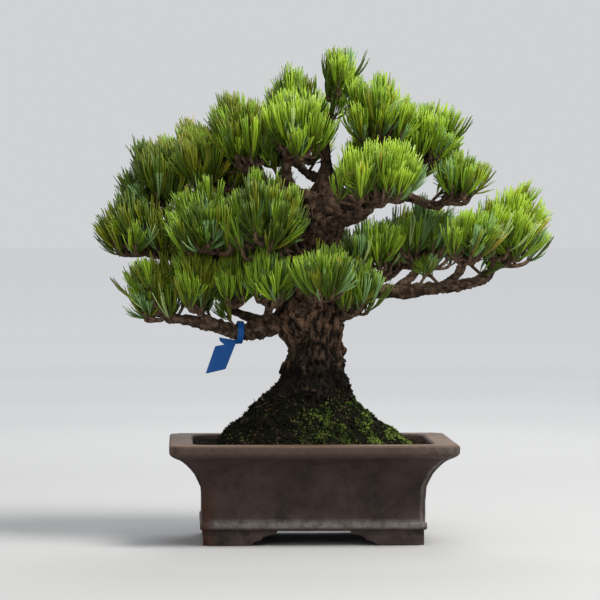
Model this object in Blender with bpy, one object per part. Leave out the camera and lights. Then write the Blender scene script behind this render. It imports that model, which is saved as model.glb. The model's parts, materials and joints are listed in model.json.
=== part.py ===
"""Shohin Japanese white pine in an oblong stoneware pot, modelled at its real size.

The pot, its soil, the moss mound, the trunk, the boughs and the pads of needles are separate solids.
Sizes are in millimetres and are scaled to metres when a mesh is made. X runs to the right, Y away from
the front and Z up. Everything is laid out from the middle of the pot's foot, and the last step moves the
whole tree so that the origin is at the bottom centre of its bounding box.
"""

import math
import random
from dataclasses import dataclass

import bmesh
import bpy
import numpy as np
from mathutils import Matrix, Vector
from mathutils.bvhtree import BVHTree

MM = 0.001
GAP = 0.35
CUT_BEYOND = 2.0
SMOOTH_ANGLE = math.radians(50.0)

# Pot: half sizes at the rim, then heights of its levels and the insets that belong to them.
POT_HEIGHT = 55.0
RIM_HALF_X = 78.0
RIM_HALF_Y = 58.0
RIM_NOTCH = 4.2
BODY_NOTCH = 2.4
NOTCH_DENT = 0.82
LIP_EDGE = 0.9
LIP_BOTTOM = 48.9
LIP_OVERHANG = 4.0
BODY_INSET = 17.5
COVE_BOTTOM = 24.0
COVE_STEPS = 5
BAND_BOTTOM = 8.0
BAND_TOP = 12.5
BAND_INSET = 16.7
BAND_EDGE = 0.8
FOOT_INSET = 18.2
FLOOR_TOP = 13.0
OPENING_HALF_X = 65.0
OPENING_HALF_Y = 45.0
OPENING_CORNER = 8.0
OPENING_DRAFT = 0.4
INNER_BEND_HEIGHT = 31.0
INNER_BEND_INSET = 8.5
INNER_FLOOR_INSET = 11.0
RECESS_CORNER = 4.0
FOOT_WIDTH = 10.0
FRONT_GAP_HALF = 34.5
SIDE_GAP_HALF = 21.0
DRAIN_RADIUS = 6.0
DRAIN_SPACING = 30.0
DRAIN_SIDES = 12
# Cloud step of a foot: how far it runs in from the gap's edge, and how high it is there.
CLOUD_STEP = ((0.0, 0.0), (1.5, 1.6), (4.0, 2.6), (6.0, 2.9), (7.0, 4.6), (10.5, 5.8), (13.7, 6.3),
              (15.0, 8.0))

# Soil and moss mound.
SOIL_TOP = 52.0
MOUND_FOOT = 52.35
MOUND_HALF_X = 54.0
MOUND_HALF_Y = 42.0
MOUND_EDGE = 0.9
MOUND_SLOPE = 54.0
MOUND_TOP_SHARE = 0.38
MOUND_SIDES = 18
MOUND_RINGS = 4
MOUND_WAVE = 0.035
MOUND_JITTER = 0.02
MOUND_BUMP = 0.8
MOUND_CLEARANCE = 1.5 * GAP
MOUND_SEED = 5

# Trunk: height, place in plan and radius from the flat cut at the soil up to the needles at the apex.
TRUNK_SIDES = 16
TRUNK_STATIONS = (
    (MOUND_FOOT, -1.5, 2.0, 37.0),
    (66.0, -0.4, 2.0, 32.0),
    (77.0, -0.2, 1.5, 27.0),
    (88.0, 1.2, 1.0, 21.8),
    (99.0, 2.2, 0.5, 18.2),
    (108.0, 2.8, 0.0, 16.2),
    (120.0, 0.8, 0.0, 16.6),
    (133.0, -0.4, 0.0, 17.2),
    (150.0, 0.0, 0.5, 16.2),
    (166.0, 0.8, 1.0, 15.2),
    (180.0, 4.0, 2.0, 11.2),
    (192.0, 8.6, 4.0, 6.8),
    (206.0, 8.8, 4.5, 4.7),
    (222.0, 8.6, 3.0, 3.6),
    (232.0, 10.4, 1.4, 2.8),
    (240.0, 12.6, 0.6, 2.3),
)
TRUNK_RINGS = 22
RING_CROWDING = 1.15
TRUNK_DEPTH_SHARE = 0.86
FLARE_TOP = 98.0
ROOT_COUNT = 5
ROOT_TURN = 0.6
ROOT_SWELL = 0.13
TRUNK_WAVE = 0.04
TRUNK_WAVE_COUNT = 3
TRUNK_WAVE_PITCH = 11.0

# Boughs and twigs.
BOUGH_SIDES = 6
BOUGH_STEP = 9.0
BOUGH_WOBBLE = 0.07
BOUGH_TAPER = 0.9
LEAST_BOUGH_STEPS = 4
YOUNG_BOUGH = 3.0
ENTRY_SHARE = 0.45
ENTRY_RISE = 1.5
TWIG_SIDES = 3
TWIG_RADIUS = 0.7
MOST_TWIG_RADIUS = 1.8
TWIG_GROWTH = 0.42
SIDE_TWIG_SHARE = 0.8
TRUNK_STEM_RADIUS = 2.0
TRUNK_STEM_DROP = 4.0
STEM_TAPER = 0.9
STEM_FORK_SHARE = 0.14
FORK_TRIES = 6
FORK_PLACE = (0.45, 0.65)
FORK_JITTER = 2.0
FORK_SAG = 1.0
FORK_SETBACK = 2.8
MOST_SETBACK_SHARE = 0.4
SEED_TRIES = 8
WELD = 0.001
PROBE_STEP = 1.5

# Needles and the tufts that they stand in.
NEEDLE = 26.0
NEEDLE_VARIATION = 0.06
TUFT_SPACING = 21.8
LEAST_TUFTS = 3
SPIRAL_START = 0.35
SPIRAL_END = 0.3
SPIRAL_POWER = 0.48
MOST_LEAN = math.radians(52.0)
LEAN_POWER = 1.3
EDGE_HEIGHT = 0.36
CORE_RADIUS = 0.165
CORE_WAIST = 0.5
CORE_TOP = 0.72
INNER_SPREAD = math.radians(13.0)
MIDDLE_SPREAD = math.radians(27.0)
OUTER_SPREAD = math.radians(42.0)
SPREAD_VARIATION = 0.15
SHORTEST_NEEDLE = 0.5
NEEDLE_TRIM = 0.1
NEEDLE_RADIUS = 0.55
TURN = math.pi * (3.0 - math.sqrt(5.0))

# Plastic label that hangs from a strap round the lower left bough.
STRAP_SHARE = 0.49
STRAP_AIM = 0.02
STRAP_CLEARANCE = 0.6
STRAP_WIDTH = 3.6
STRAP_THICKNESS = 0.9
STRAP_SIDES = 14
LABEL_THICKNESS = 0.9
LABEL_TOP_WIDTH = 10.6
LABEL_DROP = 13.0
LABEL_SLANT = 5.2
LABEL_OFFSET = 5.0
LABEL_OVERLAP = 0.4


@dataclass(frozen=True)
class Finish:
    """Colour, roughness and metallic value of one material."""

    name: str
    colour: tuple
    roughness: float
    metallic: float = 0.0


@dataclass(frozen=True)
class Bough:
    """One limb: where it leaves its parent, the points it bends through and its radii.

    The place on the trunk is a height. On another bough it is a share of that bough's length.
    """

    name: str
    parent: str
    place: float
    bends: tuple
    root: float
    tip: float


@dataclass(frozen=True)
class Pad:
    """One mass of needles: a dome over its underside, with the limb whose tip it grows from."""

    name: str
    limb: str
    x: float
    y: float
    base: float
    half_x: float
    half_y: float
    height: float

    @property
    def underside(self):
        return Vector((self.x, self.y, self.base))

    @property
    def centre(self):
        return Vector((self.x, self.y, self.base + 0.5 * self.height))

    @property
    def reach(self):
        return (self.half_x * self.half_y * 0.5 * self.height) ** (1.0 / 3.0)


STONEWARE = Finish("brown_stoneware", (0.135, 0.094, 0.084), 0.62)
EARTH = Finish("potting_soil", (0.052, 0.037, 0.027), 0.95)
MOSS = Finish("moss", (0.052, 0.088, 0.016), 0.95)
BARK = Finish("old_bark", (0.075, 0.052, 0.038), 0.92)
YOUNG_BARK = Finish("young_bark", (0.150, 0.095, 0.062), 0.85)
NEEDLES = Finish("needles", (0.120, 0.240, 0.040), 0.5)
BLUE_PLASTIC = Finish("blue_plastic", (0.012, 0.105, 0.420), 0.38)

BOUGHS = (
    Bough("bough_left_low", "trunk", 124.0,
          ((-26.0, -8.0, 117.8), (-38.7, -12.0, 114.6), (-59.2, -14.0, 119.5)), 6.4, 2.3),
    Bough("bough_left_low_mid", "bough_left_low", 0.62, ((-60.0, -17.5, 124.0),), 2.1, 1.7),
    Bough("bough_left_low_inner", "bough_left_low", 0.30,
          ((-40.0, -5.0, 125.0), (-48.0, -11.0, 128.5)), 2.5, 1.7),
    Bough("bough_front_left", "bough_left_low", 0.20, ((-24.0, -18.0, 123.0),), 2.6, 1.8),
    Bough("bough_front", "trunk", 124.0, ((-6.5, -18.0, 125.6), (-1.0, -28.0, 131.5)), 4.4, 2.3),
    Bough("bough_right_lowest", "trunk", 120.0, ((16.5, -10.0, 121.5),), 2.8, 1.8),
    Bough("bough_left_mid", "trunk", 163.0,
          ((-24.4, 2.0, 165.6), (-36.0, 3.0, 160.0), (-60.0, 2.0, 155.5), (-77.6, 1.0, 156.5)), 5.8, 2.4),
    Bough("bough_left_far", "bough_left_mid", 0.52, ((-62.0, 9.0, 164.0), (-76.0, 10.0, 176.0)), 2.8, 2.0),
    Bough("bough_left_front", "bough_left_mid", 0.36, ((-44.0, -8.0, 155.0),), 2.8, 2.0),
    Bough("bough_left_high", "trunk", 178.0, ((-18.0, 7.0, 184.0), (-38.0, 5.0, 189.0)), 4.4, 2.2),
    Bough("bough_crown_left", "trunk", 186.0,
          ((-4.6, -6.0, 189.5), (-15.1, -8.0, 195.6), (-25.0, -9.0, 196.6)), 4.0, 2.0),
    Bough("bough_crown_front", "bough_crown_left", 0.44, ((-13.5, -12.0, 203.5),), 2.5, 1.8),
    Bough("bough_crown_back", "trunk", 197.0, ((3.0, 15.0, 200.0), (-3.0, 27.0, 204.0)), 3.2, 2.0),
    Bough("bough_right_high", "trunk", 182.0,
          ((15.0, 2.0, 187.0), (33.0, 1.0, 189.5), (50.0, 3.0, 195.0)), 6.6, 2.6),
    Bough("bough_crown_right", "bough_right_high", 0.46, ((33.0, -3.0, 204.0),), 2.8, 2.0),
    Bough("bough_right_out", "bough_right_high", 0.62, ((58.0, -5.0, 187.0), (70.0, -7.0, 184.0)), 2.8, 2.0),
    Bough("bough_right_front", "trunk", 172.0, ((13.5, -12.0, 174.5), (29.0, -23.0, 181.0)), 5.2, 2.4),
    Bough("bough_right_low", "trunk", 135.0,
          ((22.7, 0.0, 136.8), (38.0, -1.0, 136.5), (60.0, -2.0, 137.4), (82.0, -2.0, 140.2),
           (97.0, -2.0, 144.6)), 4.8, 2.3),
    Bough("bough_right_low_front", "bough_right_low", 0.66, ((80.0, -13.0, 146.0),), 2.5, 1.8),
    Bough("bough_right_low_mid", "bough_right_low", 0.42, ((58.0, 6.0, 147.0),), 2.5, 1.8),
    Bough("bough_back_left_high", "trunk", 172.0, ((-15.0, 17.0, 174.0), (-34.0, 31.0, 182.0)), 4.4, 2.4),
    Bough("bough_back_left_low", "trunk", 150.0, ((-18.0, 16.0, 147.0), (-36.0, 34.0, 145.0)), 4.4, 2.4),
    Bough("bough_back_low", "trunk", 143.0, ((-1.0, 22.0, 142.0), (-3.0, 42.0, 145.0)), 4.4, 2.4),
    Bough("bough_back_right_high", "trunk", 177.0, ((17.0, 17.0, 182.0), (33.0, 31.0, 189.0)), 4.4, 2.4),
    Bough("bough_back_right_low", "trunk", 148.0, ((18.0, 16.0, 144.0), (42.0, 34.0, 144.0)), 4.4, 2.4),
)

PADS = (
    Pad("needles_apex", "trunk_tip", 15.0, 0.0, 243.0, 13.0, 13.0, 32.5),
    Pad("needles_crown_rear", "trunk", -8.0, 16.0, 228.0, 17.0, 16.0, 34.0),
    Pad("needles_crown_back", "bough_crown_back", -8.0, 46.0, 208.0, 28.0, 25.0, 43.0),
    Pad("needles_crown_left", "bough_crown_left", -40.0, -8.0, 208.0, 21.0, 22.0, 38.0),
    Pad("needles_crown_front", "bough_crown_front", -10.0, -18.0, 210.0, 20.0, 20.0, 39.0),
    Pad("needles_crown_right", "bough_crown_right", 37.5, -4.0, 220.0, 23.0, 22.0, 37.0),
    Pad("needles_right_front", "bough_right_front", 36.0, -40.0, 187.0, 26.0, 22.0, 33.0),
    Pad("needles_right_high", "bough_right_high", 68.0, 4.0, 209.0, 19.0, 22.0, 35.0),
    Pad("needles_right_out", "bough_right_out", 84.0, -8.0, 190.0, 17.0, 20.0, 27.0),
    Pad("needles_right_low_tip", "bough_right_low", 112.0, -2.0, 154.0, 22.0, 24.0, 43.0),
    Pad("needles_right_low_front", "bough_right_low_front", 89.0, -30.0, 156.0, 19.0, 18.0, 26.0),
    Pad("needles_right_low_mid", "bough_right_low_mid", 66.0, 13.0, 159.0, 21.0, 20.0, 29.0),
    Pad("needles_right_inner", "trunk", 36.0, 10.0, 151.0, 19.0, 19.0, 28.0),
    Pad("needles_left_far_low", "bough_left_mid", -99.0, 0.0, 158.0, 21.0, 24.0, 34.0),
    Pad("needles_left_far_high", "bough_left_far", -89.0, 10.0, 183.0, 18.0, 22.0, 38.0),
    Pad("needles_left_high", "bough_left_high", -60.0, 2.0, 194.0, 23.0, 23.0, 36.0),
    Pad("needles_left_front", "bough_left_front", -60.0, -22.0, 159.0, 22.0, 22.0, 39.0),
    Pad("needles_front_high", "trunk", -27.0, -34.0, 160.0, 25.0, 22.0, 41.0),
    Pad("needles_left_low_tip", "bough_left_low", -90.0, -12.0, 122.0, 16.0, 19.0, 39.0),
    Pad("needles_left_low_mid", "bough_left_low_mid", -67.0, -19.0, 128.0, 16.0, 19.0, 38.0),
    Pad("needles_left_low_inner", "bough_left_low_inner", -44.6, -19.0, 132.0, 16.5, 18.0, 28.0),
    Pad("needles_front_left", "bough_front_left", -21.5, -31.0, 133.0, 16.5, 19.0, 29.0),
    Pad("needles_front", "bough_front", 4.0, -44.0, 134.0, 20.0, 20.0, 30.0),
    Pad("needles_right_lowest", "bough_right_lowest", 26.5, -18.0, 126.0, 15.0, 17.0, 28.0),
    Pad("needles_back_left_high", "bough_back_left_high", -60.0, 46.0, 190.0, 29.0, 26.0, 42.0),
    Pad("needles_back_left_low", "bough_back_left_low", -54.0, 54.0, 150.0, 30.0, 27.0, 40.0),
    Pad("needles_back_low", "bough_back_low", -2.0, 64.0, 150.0, 28.0, 24.0, 46.0),
    Pad("needles_back_right_high", "bough_back_right_high", 50.0, 46.0, 196.0, 28.0, 26.0, 44.0),
    Pad("needles_back_right_low", "bough_back_right_low", 64.0, 50.0, 150.0, 29.0, 26.0, 36.0),
)


def clear_scene():
    """Remove the objects that the scene starts with."""
    for obj in list(bpy.data.objects):
        bpy.data.objects.remove(obj, do_unlink=True)


def principled(finish):
    """A Principled material for one finish, made once."""
    found = bpy.data.materials.get(finish.name)
    if found:
        return found
    material = bpy.data.materials.new(finish.name)
    material.use_nodes = True
    shader = material.node_tree.nodes["Principled BSDF"]
    shader.inputs["Base Color"].default_value = (*finish.colour, 1.0)
    shader.inputs["Roughness"].default_value = finish.roughness
    shader.inputs["Metallic"].default_value = finish.metallic
    return material


def add_object(name, bm, collection=None):
    """Turn a bmesh that is in millimetres into an object in metres."""
    bmesh.ops.scale(bm, vec=(MM, MM, MM), verts=bm.verts)
    bmesh.ops.recalc_face_normals(bm, faces=bm.faces)
    mesh = bpy.data.meshes.new(name)
    bm.to_mesh(mesh)
    bm.free()
    obj = bpy.data.objects.new(name, mesh)
    (collection or bpy.context.scene.collection).objects.link(obj)
    return obj


def dress(obj, finish, smooth_angle=None):
    """Give an object its material and, where it is round, smooth shading."""
    obj.data.materials.clear()
    obj.data.materials.append(principled(finish))
    if smooth_angle is not None:
        obj.data.shade_smooth()
        obj.data.set_sharp_from_angle(angle=smooth_angle)
    return obj


def loft(bm, rings):
    """Skin a list of rings of equal length into a closed shape with flat caps."""
    rows = [[bm.verts.new(point) for point in ring] for ring in rings]
    sides = len(rows[0])
    for low, high in zip(rows, rows[1:]):
        for i in range(sides):
            j = (i + 1) % sides
            bm.faces.new((low[i], low[j], high[j], high[i]))
    bm.faces.new(list(reversed(rows[0])))
    bm.faces.new(rows[-1])


def apply_modifiers(obj):
    """Replace the object's mesh by the one its modifiers give."""
    graph = bpy.context.evaluated_depsgraph_get()
    mesh = bpy.data.meshes.new_from_object(obj.evaluated_get(graph), depsgraph=graph)
    old = obj.data
    obj.modifiers.clear()
    obj.data = mesh
    bpy.data.meshes.remove(old)


def cut(obj, cutters):
    """Cut an object by each cutter in turn and remove the cutters."""
    for cutter in cutters:
        modifier = obj.modifiers.new("cut", "BOOLEAN")
        modifier.operation = "DIFFERENCE"
        modifier.solver = "EXACT"
        modifier.object = cutter
    apply_modifiers(obj)
    for cutter in cutters:
        bpy.data.objects.remove(cutter, do_unlink=True)


def through(points, share):
    """A point on the smooth curve through a list of tuples, all of one length."""
    spans = len(points) - 1
    place = min(max(share, 0.0), 1.0) * spans
    k = min(int(place), spans - 1)
    t = place - k
    p1 = np.array(points[k], float)
    p2 = np.array(points[k + 1], float)
    p0 = np.array(points[k - 1], float) if k > 0 else 2.0 * p1 - p2
    p3 = np.array(points[k + 2], float) if k + 2 <= spans else 2.0 * p2 - p1
    return 0.5 * (2.0 * p1 + (p2 - p0) * t + (2.0 * p0 - 5.0 * p1 + 4.0 * p2 - p3) * t ** 2
                  + (3.0 * p1 - p0 - 3.0 * p2 + p3) * t ** 3)


# Pot


def notched_outline(half_x, half_y, notch, z):
    """Twelve points round an oblong whose corners step inwards."""
    dent = NOTCH_DENT * notch
    quarter = ((half_x, half_y - notch), (half_x - dent, half_y - dent), (half_x - notch, half_y))
    return turned_corners(quarter, z)


def rounded_outline(half_x, half_y, corner, z):
    """Twelve points round an oblong with rounded corners."""
    bow = corner * (1.0 - math.sqrt(0.5))
    quarter = ((half_x, half_y - corner), (half_x - bow, half_y - bow), (half_x - corner, half_y))
    return turned_corners(quarter, z)


def turned_corners(quarter, z):
    """The first quarter's points carried round the four corners, anticlockwise."""
    first = [Vector((x, y, z)) for x, y in quarter]
    second = [Vector((-x, y, z)) for x, y in reversed(quarter)]
    third = [Vector((-x, -y, z)) for x, y in quarter]
    fourth = [Vector((x, -y, z)) for x, y in reversed(quarter)]
    return first + second + third + fourth


def pot_profile():
    """Height, inset from the rim and corner notch of the pot's outer levels, from the foot up."""
    levels = [
        (0.0, FOOT_INSET, BODY_NOTCH),
        (BAND_BOTTOM, FOOT_INSET, BODY_NOTCH),
        (BAND_BOTTOM + BAND_EDGE, BAND_INSET, BODY_NOTCH),
        (BAND_TOP - BAND_EDGE, BAND_INSET, BODY_NOTCH),
        (BAND_TOP, BODY_INSET, BODY_NOTCH),
    ]
    rise = LIP_BOTTOM - COVE_BOTTOM
    for k in range(COVE_STEPS + 1):
        angle = 0.5 * math.pi * k / COVE_STEPS
        inset = LIP_OVERHANG + (BODY_INSET - LIP_OVERHANG) * math.cos(angle)
        notch = BODY_NOTCH + (RIM_NOTCH - BODY_NOTCH) * (1.0 - math.cos(angle))
        levels.append((COVE_BOTTOM + rise * math.sin(angle), inset, notch))
    levels.append((LIP_BOTTOM + 0.1, LIP_EDGE, RIM_NOTCH))
    levels.append((LIP_BOTTOM + LIP_EDGE, 0.0, RIM_NOTCH))
    levels.append((POT_HEIGHT - LIP_EDGE, 0.0, RIM_NOTCH))
    levels.append((POT_HEIGHT, LIP_EDGE, RIM_NOTCH))
    return levels


def inner_levels():
    """Height and inset from the opening of the pot's inner wall, from the lip down to the floor."""
    return (
        (POT_HEIGHT, -LIP_EDGE),
        (POT_HEIGHT - LIP_EDGE, 0.0),
        (LIP_BOTTOM, OPENING_DRAFT),
        (INNER_BEND_HEIGHT, INNER_BEND_INSET),
        (FLOOR_TOP, INNER_FLOOR_INSET),
    )


def inner_ring(level, clear=0.0):
    """One ring of the inner wall, moved in by the clearance."""
    height, inset = level
    return rounded_outline(
        OPENING_HALF_X - inset - clear, OPENING_HALF_Y - inset - clear, OPENING_CORNER, height)


def cloud_cutter(name, gap_half, length, along_y):
    """The gap between two feet, with a cloud step on either side, as a long prism."""
    right = [(gap_half - run, rise) for run, rise in CLOUD_STEP]
    left = [(-x, z) for x, z in reversed(right)]
    outline = [(gap_half, -CUT_BEYOND), *right, *left, (-gap_half, -CUT_BEYOND)]
    bm = bmesh.new()
    if along_y:
        rings = [[Vector((x, y, z)) for x, z in outline] for y in (-length, length)]
    else:
        rings = [[Vector((y, x, z)) for x, z in outline] for y in (-length, length)]
    loft(bm, rings)
    return add_object(name, bm)


def drain_cutter(x):
    """A round bore through the floor."""
    bm = bmesh.new()
    place = Matrix.Translation((x, 0.0, FLOOR_TOP))
    bmesh.ops.create_cone(bm, cap_ends=True, segments=DRAIN_SIDES, radius1=DRAIN_RADIUS,
                          radius2=DRAIN_RADIUS, depth=2.0 * FLOOR_TOP, matrix=place)
    return add_object("drain_cutter", bm)


def make_pot():
    """The pot: flared walls under a flat lip, on four feet, with a recess and two drains below."""
    rings = [notched_outline(RIM_HALF_X - inset, RIM_HALF_Y - inset, notch, height)
             for height, inset, notch in pot_profile()]
    rings += [inner_ring(level) for level in inner_levels()]
    bm = bmesh.new()
    loft(bm, rings)
    pot = add_object("pot", bm)
    recess_x = RIM_HALF_X - FOOT_INSET - FOOT_WIDTH
    recess_y = RIM_HALF_Y - FOOT_INSET - FOOT_WIDTH
    bm = bmesh.new()
    loft(bm, [rounded_outline(recess_x, recess_y, RECESS_CORNER, z) for z in (-CUT_BEYOND, BAND_BOTTOM)])
    cutters = [
        add_object("recess_cutter", bm),
        cloud_cutter("front_gap_cutter", FRONT_GAP_HALF, RIM_HALF_Y, True),
        cloud_cutter("side_gap_cutter", SIDE_GAP_HALF, RIM_HALF_X, False),
        drain_cutter(-DRAIN_SPACING),
        drain_cutter(DRAIN_SPACING),
    ]
    cut(pot, cutters)
    return dress(pot, STONEWARE)


def make_soil():
    """The soil that fills the pot, flat just under the lip."""
    levels = [level for level in inner_levels() if level[0] < SOIL_TOP]
    low, high = levels[0], inner_levels()[1]
    share = (SOIL_TOP - low[0]) / (high[0] - low[0])
    top = (SOIL_TOP, low[1] + (high[1] - low[1]) * share)
    levels[-1] = (FLOOR_TOP + GAP, levels[-1][1])
    bm = bmesh.new()
    loft(bm, [inner_ring(level, GAP) for level in reversed([top, *levels])])
    return dress(add_object("soil", bm), EARTH)


# Trunk


def trunk_station(height):
    """Place in plan and radius of the trunk at a height."""
    for low, high in zip(TRUNK_STATIONS, TRUNK_STATIONS[1:]):
        if height <= high[0]:
            break
    index = TRUNK_STATIONS.index(low)
    share = (index + (height - low[0]) / (high[0] - low[0])) / (len(TRUNK_STATIONS) - 1)
    _, x, y, radius = through(TRUNK_STATIONS, share)
    return x, y, radius


def trunk_heights():
    """Heights of the trunk's rings, closer together where it is thick."""
    foot = TRUNK_STATIONS[0][0]
    span = TRUNK_STATIONS[-1][0] - foot
    return [foot + span * (k / (TRUNK_RINGS - 1)) ** RING_CROWDING for k in range(TRUNK_RINGS)]


def trunk_ring(height, extra=0.0):
    """One level ring of the trunk, with its roots' swelling and a slow wave in the wood."""
    x, y, radius = trunk_station(height)
    flare = max(0.0, (FLARE_TOP - height) / (FLARE_TOP - TRUNK_STATIONS[0][0]))
    depth = 1.0 - (1.0 - TRUNK_DEPTH_SHARE) * flare
    ring = []
    for k in range(TRUNK_SIDES):
        angle = 2.0 * math.pi * k / TRUNK_SIDES
        swell = 1.0 + ROOT_SWELL * flare * math.cos(ROOT_COUNT * angle + ROOT_TURN)
        swell += TRUNK_WAVE * math.cos(TRUNK_WAVE_COUNT * angle + height / TRUNK_WAVE_PITCH)
        size = radius * swell + extra
        ring.append(Vector((x + size * math.cos(angle), y + depth * size * math.sin(angle), height)))
    return ring


def trunk_solid(name, extra=0.0):
    """The trunk's mesh object, swollen by a clearance where it serves as a cutter."""
    rings = [trunk_ring(height, extra) for height in trunk_heights()]
    if extra:
        rings.insert(0, [point - Vector((0.0, 0.0, CUT_BEYOND)) for point in rings[0]])
    bm = bmesh.new()
    loft(bm, rings)
    return add_object(name, bm)


def make_moss():
    """The moss mound: a low cone over the roots, with the trunk's own space cut out of it."""
    bm = bmesh.new()
    rng = random.Random(MOUND_SEED)
    rings = []
    for k in range(MOUND_RINGS):
        rho = 1.0 - (1.0 - MOUND_TOP_SHARE) * k / (MOUND_RINGS - 1)
        ring = []
        for i in range(MOUND_SIDES):
            angle = 2.0 * math.pi * i / MOUND_SIDES
            wave = MOUND_WAVE * math.cos(3.0 * angle + 1.0) + MOUND_JITTER * rng.uniform(-1.0, 1.0)
            x = MOUND_HALF_X * rho * (1.0 + rho * wave) * math.cos(angle)
            y = MOUND_HALF_Y * rho * (1.0 + rho * wave) * math.sin(angle)
            bump = rng.uniform(-MOUND_BUMP, MOUND_BUMP) if k else 0.0
            ring.append(Vector((x, y, MOUND_FOOT + MOUND_EDGE + MOUND_SLOPE * (1.0 - rho) + bump)))
        if k == 0:
            rings.append([Vector((p.x, p.y, MOUND_FOOT)) for p in ring])
        rings.append(ring)
    loft(bm, rings)
    moss = add_object("moss", bm)
    cut(moss, [trunk_solid("trunk_space", MOUND_CLEARANCE)])
    return dress(moss, MOSS)


# Boughs


class Limb:
    """The path of a limb as points and radii, with its solid and the clearance it needs."""

    def __init__(self, points, radii, seed):
        self.points = [Vector(point) for point in points]
        self.radii = list(radii)
        self.seed = seed

    @property
    def tip(self):
        return self.points[-1]

    @property
    def heading(self):
        return (self.points[-1] - self.points[-2]).normalized()

    def at(self, share):
        """Point and radius at a share of the limb's length."""
        lengths = [(b - a).length for a, b in zip(self.points, self.points[1:])]
        left = share * sum(lengths)
        for k, length in enumerate(lengths):
            if left <= length:
                t = left / length
                point = self.points[k].lerp(self.points[k + 1], t)
                return point, self.radii[k] * (1.0 - t) + self.radii[k + 1] * t
            left -= length
        return self.points[-1], self.radii[-1]

    def solid(self, name, extra=0.0, collection=None):
        """A tapering tube round the path, a little uneven, swollen where it serves as a cutter."""
        rng = random.Random(self.seed)
        side = Vector((0.0, 0.0, 1.0))
        rings = []
        for k, (point, radius) in enumerate(zip(self.points, self.radii)):
            before = self.points[max(k - 1, 0)]
            after = self.points[min(k + 1, len(self.points) - 1)]
            along = (after - before).normalized()
            across = (side - along * side.dot(along)).normalized()
            up = along.cross(across)
            ring = []
            for i in range(BOUGH_SIDES):
                angle = 2.0 * math.pi * i / BOUGH_SIDES
                size = radius * (1.0 + BOUGH_WOBBLE * rng.uniform(-1.0, 1.0)) + extra
                ring.append(point + (across * math.cos(angle) + up * math.sin(angle)) * size)
            rings.append(ring)
            side = across
        bm = bmesh.new()
        loft(bm, rings)
        return add_object(name, bm, collection)


def grow_path(points, root, tip):
    """Points and radii along the smooth curve through a few points, for one tapering limb."""
    length = sum((Vector(b) - Vector(a)).length for a, b in zip(points, points[1:]))
    steps = max(LEAST_BOUGH_STEPS, round(length / BOUGH_STEP))
    path = [Vector(through(points, k / steps)) for k in range(steps + 1)]
    radii = [tip + (root - tip) * (1.0 - k / steps) ** BOUGH_TAPER for k in range(steps + 1)]
    return path, radii


def limb_end(pad, last):
    """Where a limb enters its pad: under the dome, on the side that it comes from."""
    away = Vector((last[0] - pad.x, last[1] - pad.y, 0.0))
    share = ENTRY_SHARE / max(math.hypot(away.x / pad.half_x, away.y / pad.half_y), ENTRY_SHARE)
    return (pad.x + away.x * share, pad.y + away.y * share, pad.base + ENTRY_RISE)


def grow_boughs():
    """Every bough's path, from the trunk or the bough that carries it to the pad at its tip."""
    limbs = {}
    pads = {pad.limb: pad for pad in PADS}
    for seed, bough in enumerate(BOUGHS):
        if bough.parent == "trunk":
            x, y, _ = trunk_station(bough.place)
            start = (x, y, bough.place)
        else:
            start = tuple(limbs[bough.parent].at(bough.place)[0])
        end = limb_end(pads[bough.name], bough.bends[-1])
        path, radii = grow_path((start, *bough.bends, end), bough.root, bough.tip)
        limbs[bough.name] = Limb(path, radii, seed)
    return limbs


def make_boughs(limbs):
    """The boughs as solids, each cut at its foot to sit close against what carries it."""
    made = []
    for bough in BOUGHS:
        obj = limbs[bough.name].solid(bough.name)
        if bough.parent == "trunk":
            cutter = trunk_solid("parent_space", GAP)
        else:
            cutter = limbs[bough.parent].solid("parent_space", GAP)
        cut(obj, [cutter])
        made.append(dress(obj, YOUNG_BARK if bough.root < YOUNG_BOUGH else BARK, SMOOTH_ANGLE))
    return made


# Needle pads


@dataclass
class Tuft:
    """One shoot of needles: its foot, its axis, its needles' length and its seed."""

    foot: Vector
    axis: Vector
    length: float
    seed: int


def dome_tufts(pad, seed):
    """Tufts spread over the pad's dome by a golden-angle spiral, upright in the middle.

    Each tuft's needles end on the dome, and it leans outwards more the nearer the edge it is.
    """
    rng = random.Random(seed)
    area = math.pi * pad.half_x * pad.half_y * (1.0 + pad.height / (pad.half_x + pad.half_y))
    count = max(LEAST_TUFTS, round(area / TUFT_SPACING ** 2))
    start = rng.uniform(0.0, 2.0 * math.pi)
    tufts = []
    for k in range(count):
        rho = ((k + SPIRAL_START) / (count - SPIRAL_END)) ** SPIRAL_POWER
        angle = start + k * TURN
        rise = EDGE_HEIGHT + (1.0 - EDGE_HEIGHT) * math.sqrt(max(0.0, 1.0 - rho * rho))
        tip = pad.underside + Vector((pad.half_x * rho * math.cos(angle), pad.half_y * rho * math.sin(angle),
                                      pad.height * rise))
        lean = MOST_LEAN * rho ** LEAN_POWER
        axis = Vector((math.sin(lean) * math.cos(angle), math.sin(lean) * math.sin(angle), math.cos(lean)))
        length = NEEDLE * (1.0 + NEEDLE_VARIATION * rng.uniform(-1.0, 1.0))
        tufts.append(Tuft(tip - axis * length, axis, length, rng.randrange(10 ** 6)))
    return tufts


@dataclass
class Shoot:
    """A twig as points and radii from where it starts, and the tuft that it ends in."""

    path: list
    tuft: Tuft


def across_axis(axis):
    """Two directions square to an axis and to each other."""
    side = Vector((1.0, 0.0, 0.0)) if abs(axis.x) < 0.8 else Vector((0.0, 1.0, 0.0))
    u = (side - axis * side.dot(axis)).normalized()
    return u, axis.cross(u)


def tube_distances(a, b, starts, runs):
    """Distances from points along the line from a to b to each of many straight tubes' axes."""
    steps = max(2, int((b - a).length / PROBE_STEP))
    points = np.array([a.lerp(b, k / steps)[:] for k in range(steps + 1)])
    offset = points[:, None, :] - starts[None]
    share = np.clip((offset * runs).sum(2) / (runs ** 2).sum(1), 0.0, 1.0)
    return np.linalg.norm(offset - share[..., None] * runs, axis=2)


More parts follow.
